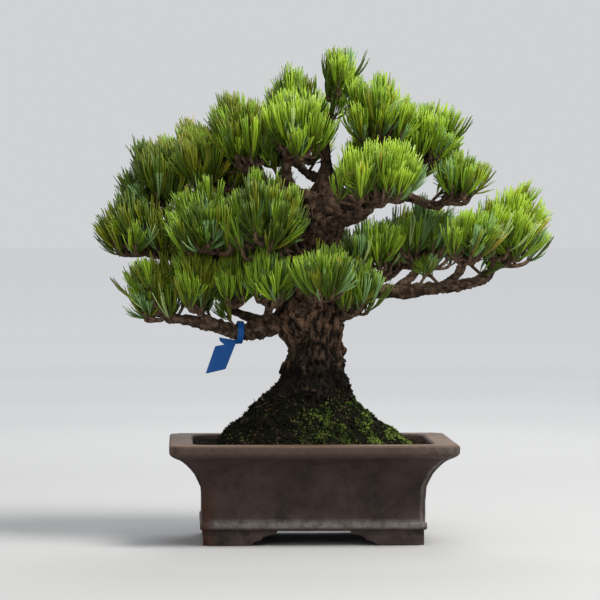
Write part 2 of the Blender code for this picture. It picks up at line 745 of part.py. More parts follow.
class Space:
    """The space that each pad keeps to: its own convex cell, clear of every limb and stem."""

    def __init__(self, pads, limbs, trunk_axis):
        self.pads = pads
        spans = []
        for name, limb in {**limbs, "trunk": trunk_axis}.items():
            radii = [radius * (1.0 + BOUGH_WOBBLE) for radius in limb.radii]
            for a, b, ra, rb in zip(limb.points, limb.points[1:], radii, radii[1:]):
                spans.append((name, a, b, max(ra, rb)))
        self.owners = [name for name, *_ in spans]
        self.start = np.array([a[:] for _, a, _, _ in spans])
        self.run = np.array([(b - a)[:] for _, a, b, _ in spans])
        self.size = np.array([radius for *_, radius in spans])

    def add_stem(self, pad, a, b, radius):
        """Keep every other pad clear of this pad's stem."""
        self.owners.append(pad.name)
        self.start = np.vstack([self.start, a[:]])
        self.run = np.vstack([self.run, (b - a)[:]])
        self.size = np.append(self.size, radius)

    def start_pad(self):
        """Forget the needles of the pad before."""
        self.spray_start = np.zeros((0, 3))
        self.spray_run = np.zeros((0, 3))
        self.spray_size = np.zeros(0)

    def add_spray(self, spans):
        """Keep the needles of later tufts of the same pad clear of these tubes."""
        self.spray_start = np.vstack([self.spray_start, [a[:] for a, _, _ in spans]])
        self.spray_run = np.vstack([self.spray_run, [(b - a)[:] for a, b, _ in spans]])
        self.spray_size = np.append(self.spray_size, [radius for *_, radius in spans])

    def inside(self, pad, point):
        """Whether a point is in the pad's cell, with half a gap to spare on each side."""
        for other in self.pads:
            if other is pad:
                continue
            apart = other.centre - pad.centre
            across = (apart.length_squared + pad.reach ** 2 - other.reach ** 2) / (2.0 * apart.length)
            if (point - pad.centre).dot(apart.normalized()) > across - GAP:
                return False
        return True

    def touches(self, pad, a, b, radius):
        """Whether a tube from a to b comes within a gap of a limb or of another pad's stem."""
        own = np.array([owner == pad.name for owner in self.owners])
        distance = tube_distances(a, b, self.start, self.run)
        return bool(((distance < radius + self.size + 2.0 * GAP) & ~own).any())

    def crosses(self, a, b, radius):
        """Whether a needle from a to b runs into those of the pad's other tufts."""
        distance = tube_distances(a, b, self.spray_start, self.spray_run)
        return bool((distance < radius + self.spray_size).any())

    def allows(self, pad, a, b, radius):
        """Whether a twig from a to b stays in the cell and clear of the limbs."""
        return self.inside(pad, a) and self.inside(pad, b) and not self.touches(pad, a, b, radius)


def twig_radius(tufts):
    """Radius of a twig by the number of tufts that it carries."""
    return min(TWIG_RADIUS * tufts ** TWIG_GROWTH, MOST_TWIG_RADIUS)


def shoot_solid(pad, shoot, space, collection):
    """A three-sided twig that ends in a slim core, most of whose faces are drawn out into needles.

    A needle that would leave the pad's space, or cross another tuft, is shortened, and left out where
    it would get too short.
    """
    tuft = shoot.tuft
    path = [*shoot.path, (tuft.foot, TWIG_RADIUS)]
    bm = bmesh.new()
    u, _ = across_axis((path[1][0] - path[0][0]).normalized())
    rows = []
    for k, (point, radius) in enumerate(path):
        after = path[k + 1][0] - point if k + 1 < len(path) else tuft.axis
        before = point - path[k - 1][0] if k else after
        along = (before.normalized() + after.normalized()).normalized()
        u = (u - along * u.dot(along)).normalized()
        v = along.cross(u)
        rows.append([bm.verts.new(point + (u * math.cos(turn) + v * math.sin(turn)) * radius)
                     for turn in third_turns(0.0)])
    u = (u - tuft.axis * u.dot(tuft.axis)).normalized()
    v = tuft.axis.cross(u)
    waist = [bm.verts.new(tuft.foot + tuft.axis * CORE_WAIST * tuft.length
                          + (u * math.cos(turn) + v * math.sin(turn)) * CORE_RADIUS * tuft.length)
             for turn in third_turns(0.5)]
    head = bm.verts.new(tuft.foot + tuft.axis * CORE_TOP * tuft.length)
    bm.faces.new(list(reversed(rows[0])))
    for low, high in zip(rows, rows[1:]):
        for i in range(TWIG_SIDES):
            j = (i + 1) % TWIG_SIDES
            bm.faces.new((low[i], low[j], high[j], high[i]))
    foot = rows[-1]
    faces = []
    for i in range(TWIG_SIDES):
        j = (i + 1) % TWIG_SIDES
        faces.append((bm.faces.new((foot[i], foot[j], waist[i])), OUTER_SPREAD))
        faces.append((bm.faces.new((waist[i], foot[j], waist[j])), MIDDLE_SPREAD))
        faces.append((bm.faces.new((waist[i], waist[j], head)), INNER_SPREAD))
    sprays = [(tuft.foot, head.co.copy(), CORE_RADIUS * tuft.length)]
    rng = random.Random(tuft.seed)
    for face, spread in faces:
        lean = spread * (1.0 + SPREAD_VARIATION * rng.uniform(-1.0, 1.0))
        needle = draw_needle(bm, face, pad, tuft, lean, space)
        if needle:
            sprays.append(needle)
    space.add_spray(sprays)
    return add_object("shoot", bm, collection)


def third_turns(offset):
    """Three even turns round a circle, offset by a share of a third."""
    return [math.tau * (k + offset) / TWIG_SIDES for k in range(TWIG_SIDES)]


def draw_needle(bm, face, pad, tuft, spread, space):
    """Draw one face of a tuft's core out into a needle and give back the tube it takes up."""
    middle = face.calc_center_median()
    outward = middle - tuft.foot
    outward = (outward - tuft.axis * outward.dot(tuft.axis)).normalized()
    tip = tuft.foot + (tuft.axis * math.cos(spread) + outward * math.sin(spread)) * tuft.length
    reach = 1.0
    while reach >= SHORTEST_NEEDLE:
        end = middle.lerp(tip, reach)
        if (space.inside(pad, end) and not space.crosses(middle, end, NEEDLE_RADIUS)
                and not space.touches(pad, middle, end, NEEDLE_RADIUS)):
            point = bmesh.ops.poke(bm, faces=[face])["verts"][0]
            point.co = end
            return middle, end, NEEDLE_RADIUS
        reach -= NEEDLE_TRIM
    return None


def core_fits(pad, tuft, space):
    """Whether a tuft's core lies in its pad's space."""
    size = CORE_RADIUS * tuft.length
    top = tuft.foot + tuft.axis * CORE_TOP * tuft.length
    return space.inside(pad, tuft.foot) and space.inside(pad, top) and not space.touches(
        pad, tuft.foot, top, size)


def halves(tufts):
    """A group of tufts parted in two across its longest side, the larger half first."""
    feet = np.array([tuft.foot[:] for tuft in tufts])
    axis = int(np.argmax(feet.max(axis=0) - feet.min(axis=0)))
    ranked = sorted(tufts, key=lambda tuft: tuft.foot[axis])
    middle = len(ranked) // 2
    return ranked[middle:], ranked[:middle]


def find_fork(pad, start, group, space, rng):
    """Where a twig forks on its way from a point to a group of tufts, or None."""
    middle = sum((tuft.foot for tuft in group), Vector()) / len(group)
    for _ in range(FORK_TRIES):
        jitter = Vector((rng.uniform(-1.0, 1.0), rng.uniform(-1.0, 1.0), 0.0)) * FORK_JITTER
        fork = start.lerp(middle, rng.uniform(*FORK_PLACE)) + jitter - Vector((0.0, 0.0, FORK_SAG))
        if space.allows(pad, start, fork, twig_radius(len(group))):
            return fork
    return None


def back_from_fork(path):
    """A point inside a twig a little way before its last fork, where a side twig starts."""
    fork, before = path[-1][0], path[-2][0]
    back = before - fork
    return fork + back.normalized() * min(FORK_SETBACK, MOST_SETBACK_SHARE * back.length)


def branch(pad, path, tufts, space, rng, shoots):
    """Grow a path on to a group of tufts, which parts in two at every fork.

    One half continues the twig and the other starts a new one inside it. Whatever can't be reached
    within the pad's space is left out.
    """
    start, _ = path[-1]
    if len(tufts) == 1:
        if not space.allows(pad, start, tufts[0].foot, TWIG_RADIUS):
            return False
        shoots.append(Shoot(path, tufts[0]))
        return True
    grown = False
    for group in halves(tufts):
        own = path if not grown else [(back_from_fork(path), SIDE_TWIG_SHARE * twig_radius(len(group)))]
        if len(group) > 1:
            fork = find_fork(pad, start, group, space, rng)
            if fork is None:
                continue
            own = [*own, (fork, twig_radius(len(group)))]
        if branch(pad, own, group, space, rng, shoots):
            grown = True
    return grown


def stem_of(pad, limbs, trunk_surface):
    """The foot and the first fork of a pad's stem, and its radius at the foot."""
    fork = pad.underside + Vector((0.0, 0.0, STEM_FORK_SHARE * pad.height))
    if pad.limb == "trunk":
        x, y, _ = trunk_station(fork.z)
        inwards = (Vector((x, y, fork.z - TRUNK_STEM_DROP)) - fork).normalized()
        place, normal, _, _ = trunk_surface.ray_cast(fork * MM, inwards)
        place, radius = place / MM, TRUNK_STEM_RADIUS
        out = normal
    else:
        limb = limbs[pad.limb]
        place, radius = limb.tip, STEM_TAPER * limb.radii[-1]
        out = limb.heading if pad.limb != "trunk_tip" else Vector((0.0, 0.0, 1.0))
    tilt = (fork - place).normalized().angle(out)
    foot = place + out * (GAP + radius * math.sin(tilt))
    return foot, fork, radius


def fuse(name, stem, collection):
    """Join a stem with everything in a collection, then drop sealed hollows and loose scraps."""
    stem.name = name
    stem.data.name = name
    modifier = stem.modifiers.new("join", "BOOLEAN")
    modifier.operation = "UNION"
    modifier.operand_type = "COLLECTION"
    modifier.collection = collection
    modifier.solver = "EXACT"
    modifier.use_self = True
    apply_modifiers(stem)
    for obj in list(collection.objects):
        bpy.data.objects.remove(obj, do_unlink=True)
    bpy.data.collections.remove(collection)
    bm = bmesh.new()
    bm.from_mesh(stem.data)
    bmesh.ops.triangulate(bm, faces=bm.faces)
    shells = face_shells(bm)
    whole = max(shells, key=shell_volume)
    loose = [face for shell in shells if shell is not whole for face in shell]
    bmesh.ops.delete(bm, geom=loose, context="FACES")
    bm.to_mesh(stem.data)
    bm.free()
    return stem


def face_shells(bm):
    """The faces of a mesh in groups that hang together."""
    left = set(bm.faces)
    shells = []
    while left:
        stack = [left.pop()]
        shell = []
        while stack:
            face = stack.pop()
            shell.append(face)
            for edge in face.edges:
                for other in edge.link_faces:
                    if other in left:
                        left.remove(other)
                        stack.append(other)
        shells.append(shell)
    return shells


def shell_volume(shell):
    """Signed volume inside a shell of triangles."""
    total = 0.0
    for face in shell:
        a, b, c = (vert.co for vert in face.verts)
        total += a.dot(b.cross(c)) / 6.0
    return total


def is_sound(mesh):
    """Whether a mesh stays one closed body when points that all but coincide are merged."""
    bm = bmesh.new()
    bm.from_mesh(mesh)
    bmesh.ops.remove_doubles(bm, verts=bm.verts, dist=WELD * MM)
    sound = all(len(edge.link_faces) == 2 for edge in bm.edges)
    sound = sound and all(vert.is_manifold for vert in bm.verts) and len(face_shells(bm)) == 1
    bm.free()
    return sound


def make_pad(pad, stem, space, seed):
    """One pad: its tufts, the twigs that reach them and all of it fused."""
    foot, fork, radius = stem
    tufts = [tuft for tuft in dome_tufts(pad, seed) if core_fits(pad, tuft, space)]
    shoots = []
    path = [(foot, radius), (fork, twig_radius(len(tufts)))]
    branch(pad, path, tufts, space, random.Random(seed), shoots)
    space.start_pad()
    collection = bpy.data.collections.new(pad.name)
    bpy.context.scene.collection.children.link(collection)
    first, *others = [shoot_solid(pad, shoot, space, collection) for shoot in shoots]
    collection.objects.unlink(first)
    bpy.context.scene.collection.objects.link(first)
    return fuse(pad.name, first, collection)


def make_pads(limbs, trunk):
    """Every pad of needles as one fused solid in its own space, grown again where it isn't sound."""
    heights = trunk_heights()
    stations = [trunk_station(height) for height in heights]
    axis = Limb([(x, y, z) for z, (x, y, _) in zip(heights, stations)], [r for _, _, r in stations], 0)
    space = Space(PADS, limbs, axis)
    limbs = {**limbs, "trunk_tip": axis}
    graph = bpy.context.evaluated_depsgraph_get()
    surface = BVHTree.FromObject(trunk, graph)
    stems = {pad.name: stem_of(pad, limbs, surface) for pad in PADS}
    for pad in PADS:
        foot, fork, radius = stems[pad.name]
        space.add_stem(pad, foot, fork, radius)
    made = []
    for number, pad in enumerate(PADS):
        for attempt in range(SEED_TRIES):
            obj = make_pad(pad, stems[pad.name], space, number + len(PADS) * attempt)
            if is_sound(obj.data):
                break
            if attempt + 1 < SEED_TRIES:
                bpy.data.objects.remove(obj, do_unlink=True)
        made.append(dress(obj, NEEDLES))
    return made


# Label


def make_label(limbs):
    """A strap round the lower left bough with a slanting label hanging from it."""
    limb = limbs["bough_left_low"]
    middle, radius = limb.at(STRAP_SHARE)
    before, _ = limb.at(STRAP_SHARE - STRAP_AIM)
    after, _ = limb.at(STRAP_SHARE + STRAP_AIM)
    along = (after - before).normalized()
    inner = radius * (1.0 + BOUGH_WOBBLE) + STRAP_CLEARANCE
    outer = inner + STRAP_THICKNESS
    half = 0.5 * STRAP_WIDTH
    section = [(inner, -half), (outer, -half), (outer, half), (inner, half)]
    bm = bmesh.new()
    points = [bm.verts.new((size, 0.0, side)) for size, side in section]
    outline = [bm.edges.new((points[k], points[(k + 1) % 4])) for k in range(4)]
    bmesh.ops.spin(bm, geom=points + outline, cent=(0, 0, 0), axis=(0, 0, 1), angle=math.tau,
                   steps=STRAP_SIDES, use_merge=True)
    bmesh.ops.remove_doubles(bm, verts=bm.verts, dist=WELD)
    turn = along.to_track_quat("Z", "Y").to_matrix().to_4x4()
    bmesh.ops.transform(bm, matrix=Matrix.Translation(middle) @ turn, verts=bm.verts)
    strap = add_object("label", bm)
    top = middle - Vector((LABEL_OFFSET, 0.0, inner + LABEL_OVERLAP * STRAP_THICKNESS))
    corners = [(-0.5 * LABEL_TOP_WIDTH, 0.0), (0.5 * LABEL_TOP_WIDTH, 0.0),
               (0.5 * LABEL_TOP_WIDTH - LABEL_SLANT, -LABEL_DROP),
               (-0.5 * LABEL_TOP_WIDTH - LABEL_SLANT, -LABEL_DROP)]
    bm = bmesh.new()
    loft(bm, [[top + Vector((x, y, z)) for x, z in corners]
              for y in (-0.5 * LABEL_THICKNESS, 0.5 * LABEL_THICKNESS)])
    plate = add_object("plate", bm)
    modifier = strap.modifiers.new("join", "BOOLEAN")
    modifier.operation = "UNION"
    modifier.solver = "EXACT"
    modifier.object = plate
    apply_modifiers(strap)
    bpy.data.objects.remove(plate, do_unlink=True)
    return dress(strap, BLUE_PLASTIC)


def centre_on_origin():
    """Move every mesh so that the origin is at the bottom centre of the whole tree's box."""
    meshes = [obj.data for obj in bpy.data.objects if obj.type == "MESH"]
    points = np.array([vert.co[:] for mesh in meshes for vert in mesh.vertices])
    low, high = points.min(axis=0), points.max(axis=0)
    shift = Vector((-(low[0] + high[0]) / 2.0, -(low[1] + high[1]) / 2.0, -low[2]))
    for mesh in meshes:
        mesh.transform(Matrix.Translation(shift))


def main():
    """Build the whole tree."""
    clear_scene()
    make_pot()
    make_soil()
    make_moss()
    trunk = dress(trunk_solid("trunk"), BARK, SMOOTH_ANGLE)
    limbs = grow_boughs()
    make_boughs(limbs)
    make_pads(limbs, trunk)
    make_label(limbs)
    centre_on_origin()


main()
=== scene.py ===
"""Shohin Japanese white pine in an oblong stoneware pot: its finishes and fine surfaces.

Each class is one part of the tree. It holds its sizes, builds its own meshes and gives them their finish.
Sizes are in millimetres, laid out from the middle of the pot's foot with X to the right, Y away from the
front and Z up. Layout turns them into the frame's metres.
"""

import json
import logging
import math
import random
from dataclasses import dataclass, field
from enum import Enum

import bmesh
import bpy
import numpy as np
from mathutils import Matrix, Vector, noise

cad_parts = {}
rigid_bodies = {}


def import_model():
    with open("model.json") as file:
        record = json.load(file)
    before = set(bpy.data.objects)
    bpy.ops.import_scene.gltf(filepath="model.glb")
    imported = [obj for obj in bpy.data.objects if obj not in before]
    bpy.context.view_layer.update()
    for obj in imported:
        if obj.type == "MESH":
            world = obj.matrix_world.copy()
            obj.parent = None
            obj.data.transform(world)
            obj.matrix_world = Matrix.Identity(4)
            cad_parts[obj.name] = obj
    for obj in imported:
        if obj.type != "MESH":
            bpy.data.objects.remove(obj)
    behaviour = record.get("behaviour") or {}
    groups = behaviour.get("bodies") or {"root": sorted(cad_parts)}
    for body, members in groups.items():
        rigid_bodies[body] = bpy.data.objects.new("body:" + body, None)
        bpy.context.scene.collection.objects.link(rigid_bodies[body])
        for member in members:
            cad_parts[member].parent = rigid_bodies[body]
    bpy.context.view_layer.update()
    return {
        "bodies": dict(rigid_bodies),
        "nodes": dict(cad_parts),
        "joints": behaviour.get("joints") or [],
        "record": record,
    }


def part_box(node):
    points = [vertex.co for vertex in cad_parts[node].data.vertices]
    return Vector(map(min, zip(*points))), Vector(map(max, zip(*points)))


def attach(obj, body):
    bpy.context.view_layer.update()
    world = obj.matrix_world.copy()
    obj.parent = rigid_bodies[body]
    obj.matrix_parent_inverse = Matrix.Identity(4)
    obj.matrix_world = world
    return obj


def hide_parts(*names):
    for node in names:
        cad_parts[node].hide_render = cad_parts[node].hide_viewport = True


LOG = logging.getLogger("white_pine")
MM = 0.001
BODY = "root"
TURN = math.pi * (3.0 - math.sqrt(5.0))
MOST_TRIANGLES = 190_000


class Slot(Enum):
    """Material slots of the part's record."""

    STONEWARE = "stoneware"
    SOIL = "soil"
    MOSS = "moss"
    BARK = "bark"
    YOUNG_BARK = "young_bark"
    NEEDLES = "needles"
    BLUE_PLASTIC = "blue_plastic"


class Tint(Enum):
    """Greens of the needles, dealt out by spray, as plain base colours."""

    FRESH = (0.250, 0.385, 0.020)
    LEAF = (0.158, 0.270, 0.014)
    OLIVE = (0.142, 0.170, 0.007)
    # dark green: partly older needles, partly painted shade
    DEEP = (0.058, 0.100, 0.006)
    SEA = (0.160, 0.285, 0.096)
    AMBER = (0.300, 0.255, 0.018)
    # pale whitish green: partly the needles' white stomatal lines, partly painted highlight
    PALE = (0.370, 0.480, 0.160)


class Tone(Enum):
    """Shares of each tint in a pad, in the order of Tint, for inner and for outer sprays."""

    SUNLIT = ((0.54, 0.30, 0.05, 0.00, 0.01, 0.05, 0.05), (0.28, 0.44, 0.12, 0.08, 0.02, 0.02, 0.04))
    MELLOW = ((0.17, 0.24, 0.47, 0.04, 0.00, 0.05, 0.03), (0.06, 0.24, 0.44, 0.24, 0.00, 0.01, 0.01))
    GOLDEN = ((0.08, 0.18, 0.60, 0.06, 0.00, 0.06, 0.02), (0.02, 0.14, 0.52, 0.28, 0.00, 0.03, 0.01))
    DUSKY = ((0.00, 0.04, 0.46, 0.45, 0.00, 0.04, 0.01), (0.00, 0.03, 0.29, 0.68, 0.00, 0.00, 0.00))
    DIM = ((0.02, 0.26, 0.24, 0.42, 0.02, 0.03, 0.01), (0.00, 0.16, 0.18, 0.64, 0.02, 0.00, 0.00))
    LEAFY = ((0.22, 0.52, 0.10, 0.06, 0.04, 0.03, 0.03), (0.08, 0.46, 0.12, 0.27, 0.04, 0.01, 0.02))
    MIXED = ((0.16, 0.42, 0.10, 0.22, 0.05, 0.03, 0.02), (0.04, 0.34, 0.12, 0.44, 0.04, 0.01, 0.01))
    COOL = ((0.18, 0.42, 0.00, 0.00, 0.32, 0.00, 0.08), (0.08, 0.42, 0.02, 0.08, 0.34, 0.00, 0.06))
    SHADED = ((0.04, 0.38, 0.16, 0.34, 0.08, 0.00, 0.00), (0.00, 0.24, 0.12, 0.56, 0.08, 0.00, 0.00))


class Layout:
    """Turns the tree's own millimetres into the frame's metres."""

    def __init__(self, foot_node: str) -> None:
        """Centre the layout on a CAD node.

        Args:
            foot_node: the node whose middle in plan is the layout's origin.
        """
        low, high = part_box(foot_node)
        self.middle = np.array(((low.x + high.x) / 2.0, (low.y + high.y) / 2.0, 0.0))

    def metres(self, points: np.ndarray) -> np.ndarray:
        """Move points from the layout into the frame.

        Args:
            points: one point or rows of points in millimetres.

        Returns:
            The same points in metres.
        """
        return np.asarray(points, float) * MM + self.middle


class MeshPile:
    """Points and faces of one kind, gathered until they become one mesh."""

    def __init__(self) -> None:
        """Start with nothing."""
        self.points: list[np.ndarray] = []
        self.faces: list[np.ndarray] = []
        self.relief: list[np.ndarray] = []
        self.count = 0

    def add(self, points: np.ndarray, *blocks: np.ndarray, relief: np.ndarray | None = None) -> None:
        """Add points and the faces between them.

        Args:
            points: rows of points in millimetres.
            blocks: arrays of point numbers, one row a face, each array with one number of corners.
            relief: how far each point stands out, from 0 in a crack to 1 on a ridge.
        """
        for block in blocks:
            self.faces.append(np.asarray(block, np.int64) + self.count)
        self.points.append(np.asarray(points, float))
        self.relief.append(np.full(len(points), 0.5) if relief is None else relief)
        self.count += len(points)

    def mesh(self, name: str, layout: Layout) -> bpy.types.Mesh:
        """Make the mesh.

        Args:
            name: the mesh's name.
            layout: where the millimetres lie in the frame.

        Returns:
            The mesh in metres, with the relief as a point attribute.
        """
        points = layout.metres(np.concatenate(self.points))
        sizes = np.concatenate([np.full(len(block), block.shape[1]) for block in self.faces])
        corners = np.concatenate([block.ravel() for block in self.faces])
        starts = np.concatenate([[0], np.cumsum(sizes)[:-1]])
        mesh = bpy.data.meshes.new(name)
        mesh.vertices.add(len(points))
        mesh.vertices.foreach_set("co", points.ravel())
        mesh.loops.add(len(corners))
        mesh.polygons.add(len(sizes))
        mesh.polygons.foreach_set("loop_start", starts.astype(np.int32))
        mesh.polygons.foreach_set("vertices", corners.astype(np.int32))
        relief = mesh.attributes.new("relief", "FLOAT", "POINT")
        relief.data.foreach_set("value", np.concatenate(self.relief).astype(np.float32))
        mesh.update(calc_edges=True)
        mesh.validate()
        return mesh


def show(mesh: bpy.types.Mesh, name: str, material: bpy.types.Material,
         smooth: float | None = None, replaces: tuple = ()) -> bpy.types.Object:
    """Make a piece of the tree from a finished mesh.

    Args:
        mesh: the mesh, in the frame's metres.
        name: the piece's name.
        material: its finish.
        smooth: the angle in degrees up to which edges are shaded smooth, or None for flat faces.
        replaces: the CAD nodes that the piece stands for.

    Returns:
        The piece, riding on the tree's one body.
    """
    mesh.materials.clear()
    mesh.materials.append(material)
    if smooth is not None:
        mesh.shade_smooth()
        mesh.set_sharp_from_angle(angle=math.radians(smooth))
    mesh.name = name
    obj = bpy.data.objects.new(name, mesh)
    bpy.context.scene.collection.objects.link(obj)
    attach(obj, BODY)
    if replaces:
        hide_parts(*replaces)
    LOG.info("%s: %d faces", name, len(mesh.polygons))
    return obj


class NodeTree:
    """A node tree that is built a node at a time."""

    def __init__(self, tree: bpy.types.NodeTree) -> None:
        """Wrap a tree of Blender's."""
        self.tree = tree

    def add(self, kind: str, inputs: dict | None = None, **settings) -> bpy.types.Node:
        """Add a node.

        Args:
            kind: the node's type.
            inputs: by socket name or number, a value or the output that feeds it.
            settings: the node's own properties.

        Returns:
            The node.
        """
        node = self.tree.nodes.new(kind)
        for key, value in settings.items():
            setattr(node, key, value)
        for key, value in (inputs or {}).items():
            if isinstance(value, bpy.types.NodeSocket):
                self.tree.links.new(value, node.inputs[key])
            else:
                node.inputs[key].default_value = value
        return node


class Shader(NodeTree):
    """A material with one Principled shader, and the patterns that the finishes share."""

    def __init__(self, name: str) -> None:
        """Make an empty material.

        Args:
            name: the material's name.
        """
        self.material = bpy.data.materials.new(name)
        self.material.use_nodes = True
        super().__init__(self.material.node_tree)
        self.tree.nodes.clear()
        self.surface = self.add("ShaderNodeBsdfPrincipled")
        self.add("ShaderNodeOutputMaterial", {"Surface": self.surface.outputs["BSDF"]})
        self.place = self.add("ShaderNodeTexCoord").outputs["Object"]

    def set(self, **values: float | tuple | bpy.types.NodeSocket) -> None:
        """Set sockets of the surface, named with underscores for spaces."""
        for key, value in values.items():
            socket = self.surface.inputs[key.replace("_", " ").title().replace("Ior", "IOR")]
            if isinstance(value, bpy.types.NodeSocket):
                self.tree.links.new(value, socket)
            else:
                socket.default_value = value

    def stretched(self, x: float, y: float, z: float) -> bpy.types.NodeSocket:
        """Object coordinates scaled along each axis."""
        return self.add("ShaderNodeMapping", {"Vector": self.place, "Scale": (x, y, z)}).outputs[0]

    def cloud(self, size: float, detail: float = 3.0, roughness: float = 0.55,
              place: bpy.types.NodeSocket | None = None) -> bpy.types.NodeSocket:
        """Noise whose features are about as large as size, in millimetres."""
        node = self.add("ShaderNodeTexNoise", {"Vector": place or self.place, "Scale": 1.0 / (size * MM),
                                               "Detail": detail, "Roughness": roughness})
        return node.outputs["Fac"]

    def cells(self, size: float, feature: str = "F1") -> bpy.types.NodeSocket:
        """Distance within cells about as large as size, in millimetres."""
        return self.add("ShaderNodeTexVoronoi", {"Vector": self.place, "Scale": 1.0 / (size * MM)},
                        feature=feature).outputs["Distance"]

    def attribute(self, name: str) -> bpy.types.NodeSocket:
        """A number that the mesh carries at its points."""
        return self.add("ShaderNodeAttribute", attribute_name=name).outputs["Fac"]

    def height(self, low: float, high: float) -> bpy.types.NodeSocket:
        """Share of the way from a low to a high level, in millimetres above the table."""
        z = self.add("ShaderNodeSeparateXYZ", {0: self.place}).outputs["Z"]
        return self.between(z, low * MM, high * MM)

    def between(self, value: bpy.types.NodeSocket, low: float, high: float) -> bpy.types.NodeSocket:
        """A value's share of the way from low to high, kept within 0 and 1."""
        node = self.add("ShaderNodeMapRange", {"Value": value, "From Min": low, "From Max": high})
        return node.outputs["Result"]

    def times(self, a: bpy.types.NodeSocket, b: bpy.types.NodeSocket | float) -> bpy.types.NodeSocket:
        """The product of two values."""
        return self.add("ShaderNodeMath", {0: a, 1: b}, operation="MULTIPLY").outputs[0]

    def mix(self, share: bpy.types.NodeSocket | float, first: tuple | bpy.types.NodeSocket,
            second: tuple | bpy.types.NodeSocket) -> bpy.types.NodeSocket:
        """Two colours mixed by a share."""
        node = self.add("ShaderNodeMix", data_type="RGBA")
        for socket, value in ((node.inputs[0], share), (node.inputs[6], first), (node.inputs[7], second)):
            if isinstance(value, bpy.types.NodeSocket):
                self.tree.links.new(value, socket)
            else:
                socket.default_value = value if isinstance(value, float) else (*value, 1.0)
        return node.outputs[2]

    def bump(self, height: bpy.types.NodeSocket, depth: float, strength: float = 1.0) -> None:
        """Give the surface a relief, depth in millimetres, on top of any that it has."""
        node = self.add("ShaderNodeBump", {"Height": height, "Distance": depth * MM, "Strength": strength})
        socket = self.surface.inputs["Normal"]
        if socket.is_linked:
            self.tree.links.new(socket.links[0].from_socket, node.inputs["Normal"])
        self.tree.links.new(node.outputs["Normal"], socket)


@dataclass(frozen=True)
class BarkFinish:
    """Scaly pine bark: dark in its cracks, browner and greyer on its plates. The dark in the cracks is partly
    the bark's own colour and partly painted shade, and the old trunk also has painted shade under the crown.
    """

    name: str
    # the crack colour also serves as the colour of the painted shade
    crack: tuple
    plate: tuple
    warm: tuple
    grey: tuple
    # height from which the bark is darkened towards its foot and, from 32 mm above it upwards, in painted shade
    dark_below: float = 0.0

    def material(self) -> bpy.types.Material:
        """Build the material."""
        shader = Shader(self.name)
        relief = shader.attribute("relief")
        patches = shader.between(shader.cloud(7.0), 0.42, 0.62)
        crust = shader.between(shader.cloud(2.0, 4.0, 0.75), 0.52, 0.68)
        fine = shader.between(shader.cloud(0.9, 3.0, 0.7), 0.40, 0.60)
        colour = shader.mix(patches, self.plate, self.warm)
        colour = shader.mix(shader.times(crust, 0.75), colour, self.grey)
        # painted shade: from 32 to 48 mm above that level upwards, the trunk is drawn towards the crack colour
        # as the crown's shade
        if self.dark_below:
            shaded = shader.height(self.dark_below + 32.0, self.dark_below + 48.0)
            colour = shader.mix(shader.times(shaded, 0.66), colour, self.crack)
        colour = shader.mix(shader.times(fine, 0.48), colour, self.crack)
        # where the relief is low, in the cracks, the colour turns to the crack colour: partly the bark's own
        # darker fissures, partly painted shade
        colour = shader.mix(shader.between(relief, 0.04, 0.60), self.crack, colour)
        # darker towards the foot, in cloudy patches
        if self.dark_below:
            foot_darkening = shader.height(self.dark_below + 24.0, self.dark_below - 8.0)
            foot_darkening = shader.times(foot_darkening, shader.between(shader.cloud(9.0), 0.20, 0.40))
            colour = shader.mix(shader.times(foot_darkening, 0.97), colour, (0.0040, 0.0038, 0.0028))
        shader.set(base_color=colour, roughness=0.9, specular_ior_level=0.1)
        shader.bump(shader.cloud(1.1, 5.0, 0.7), 0.9)
        shader.bump(shader.cells(1.7), 0.35, 0.7)
        return shader.material


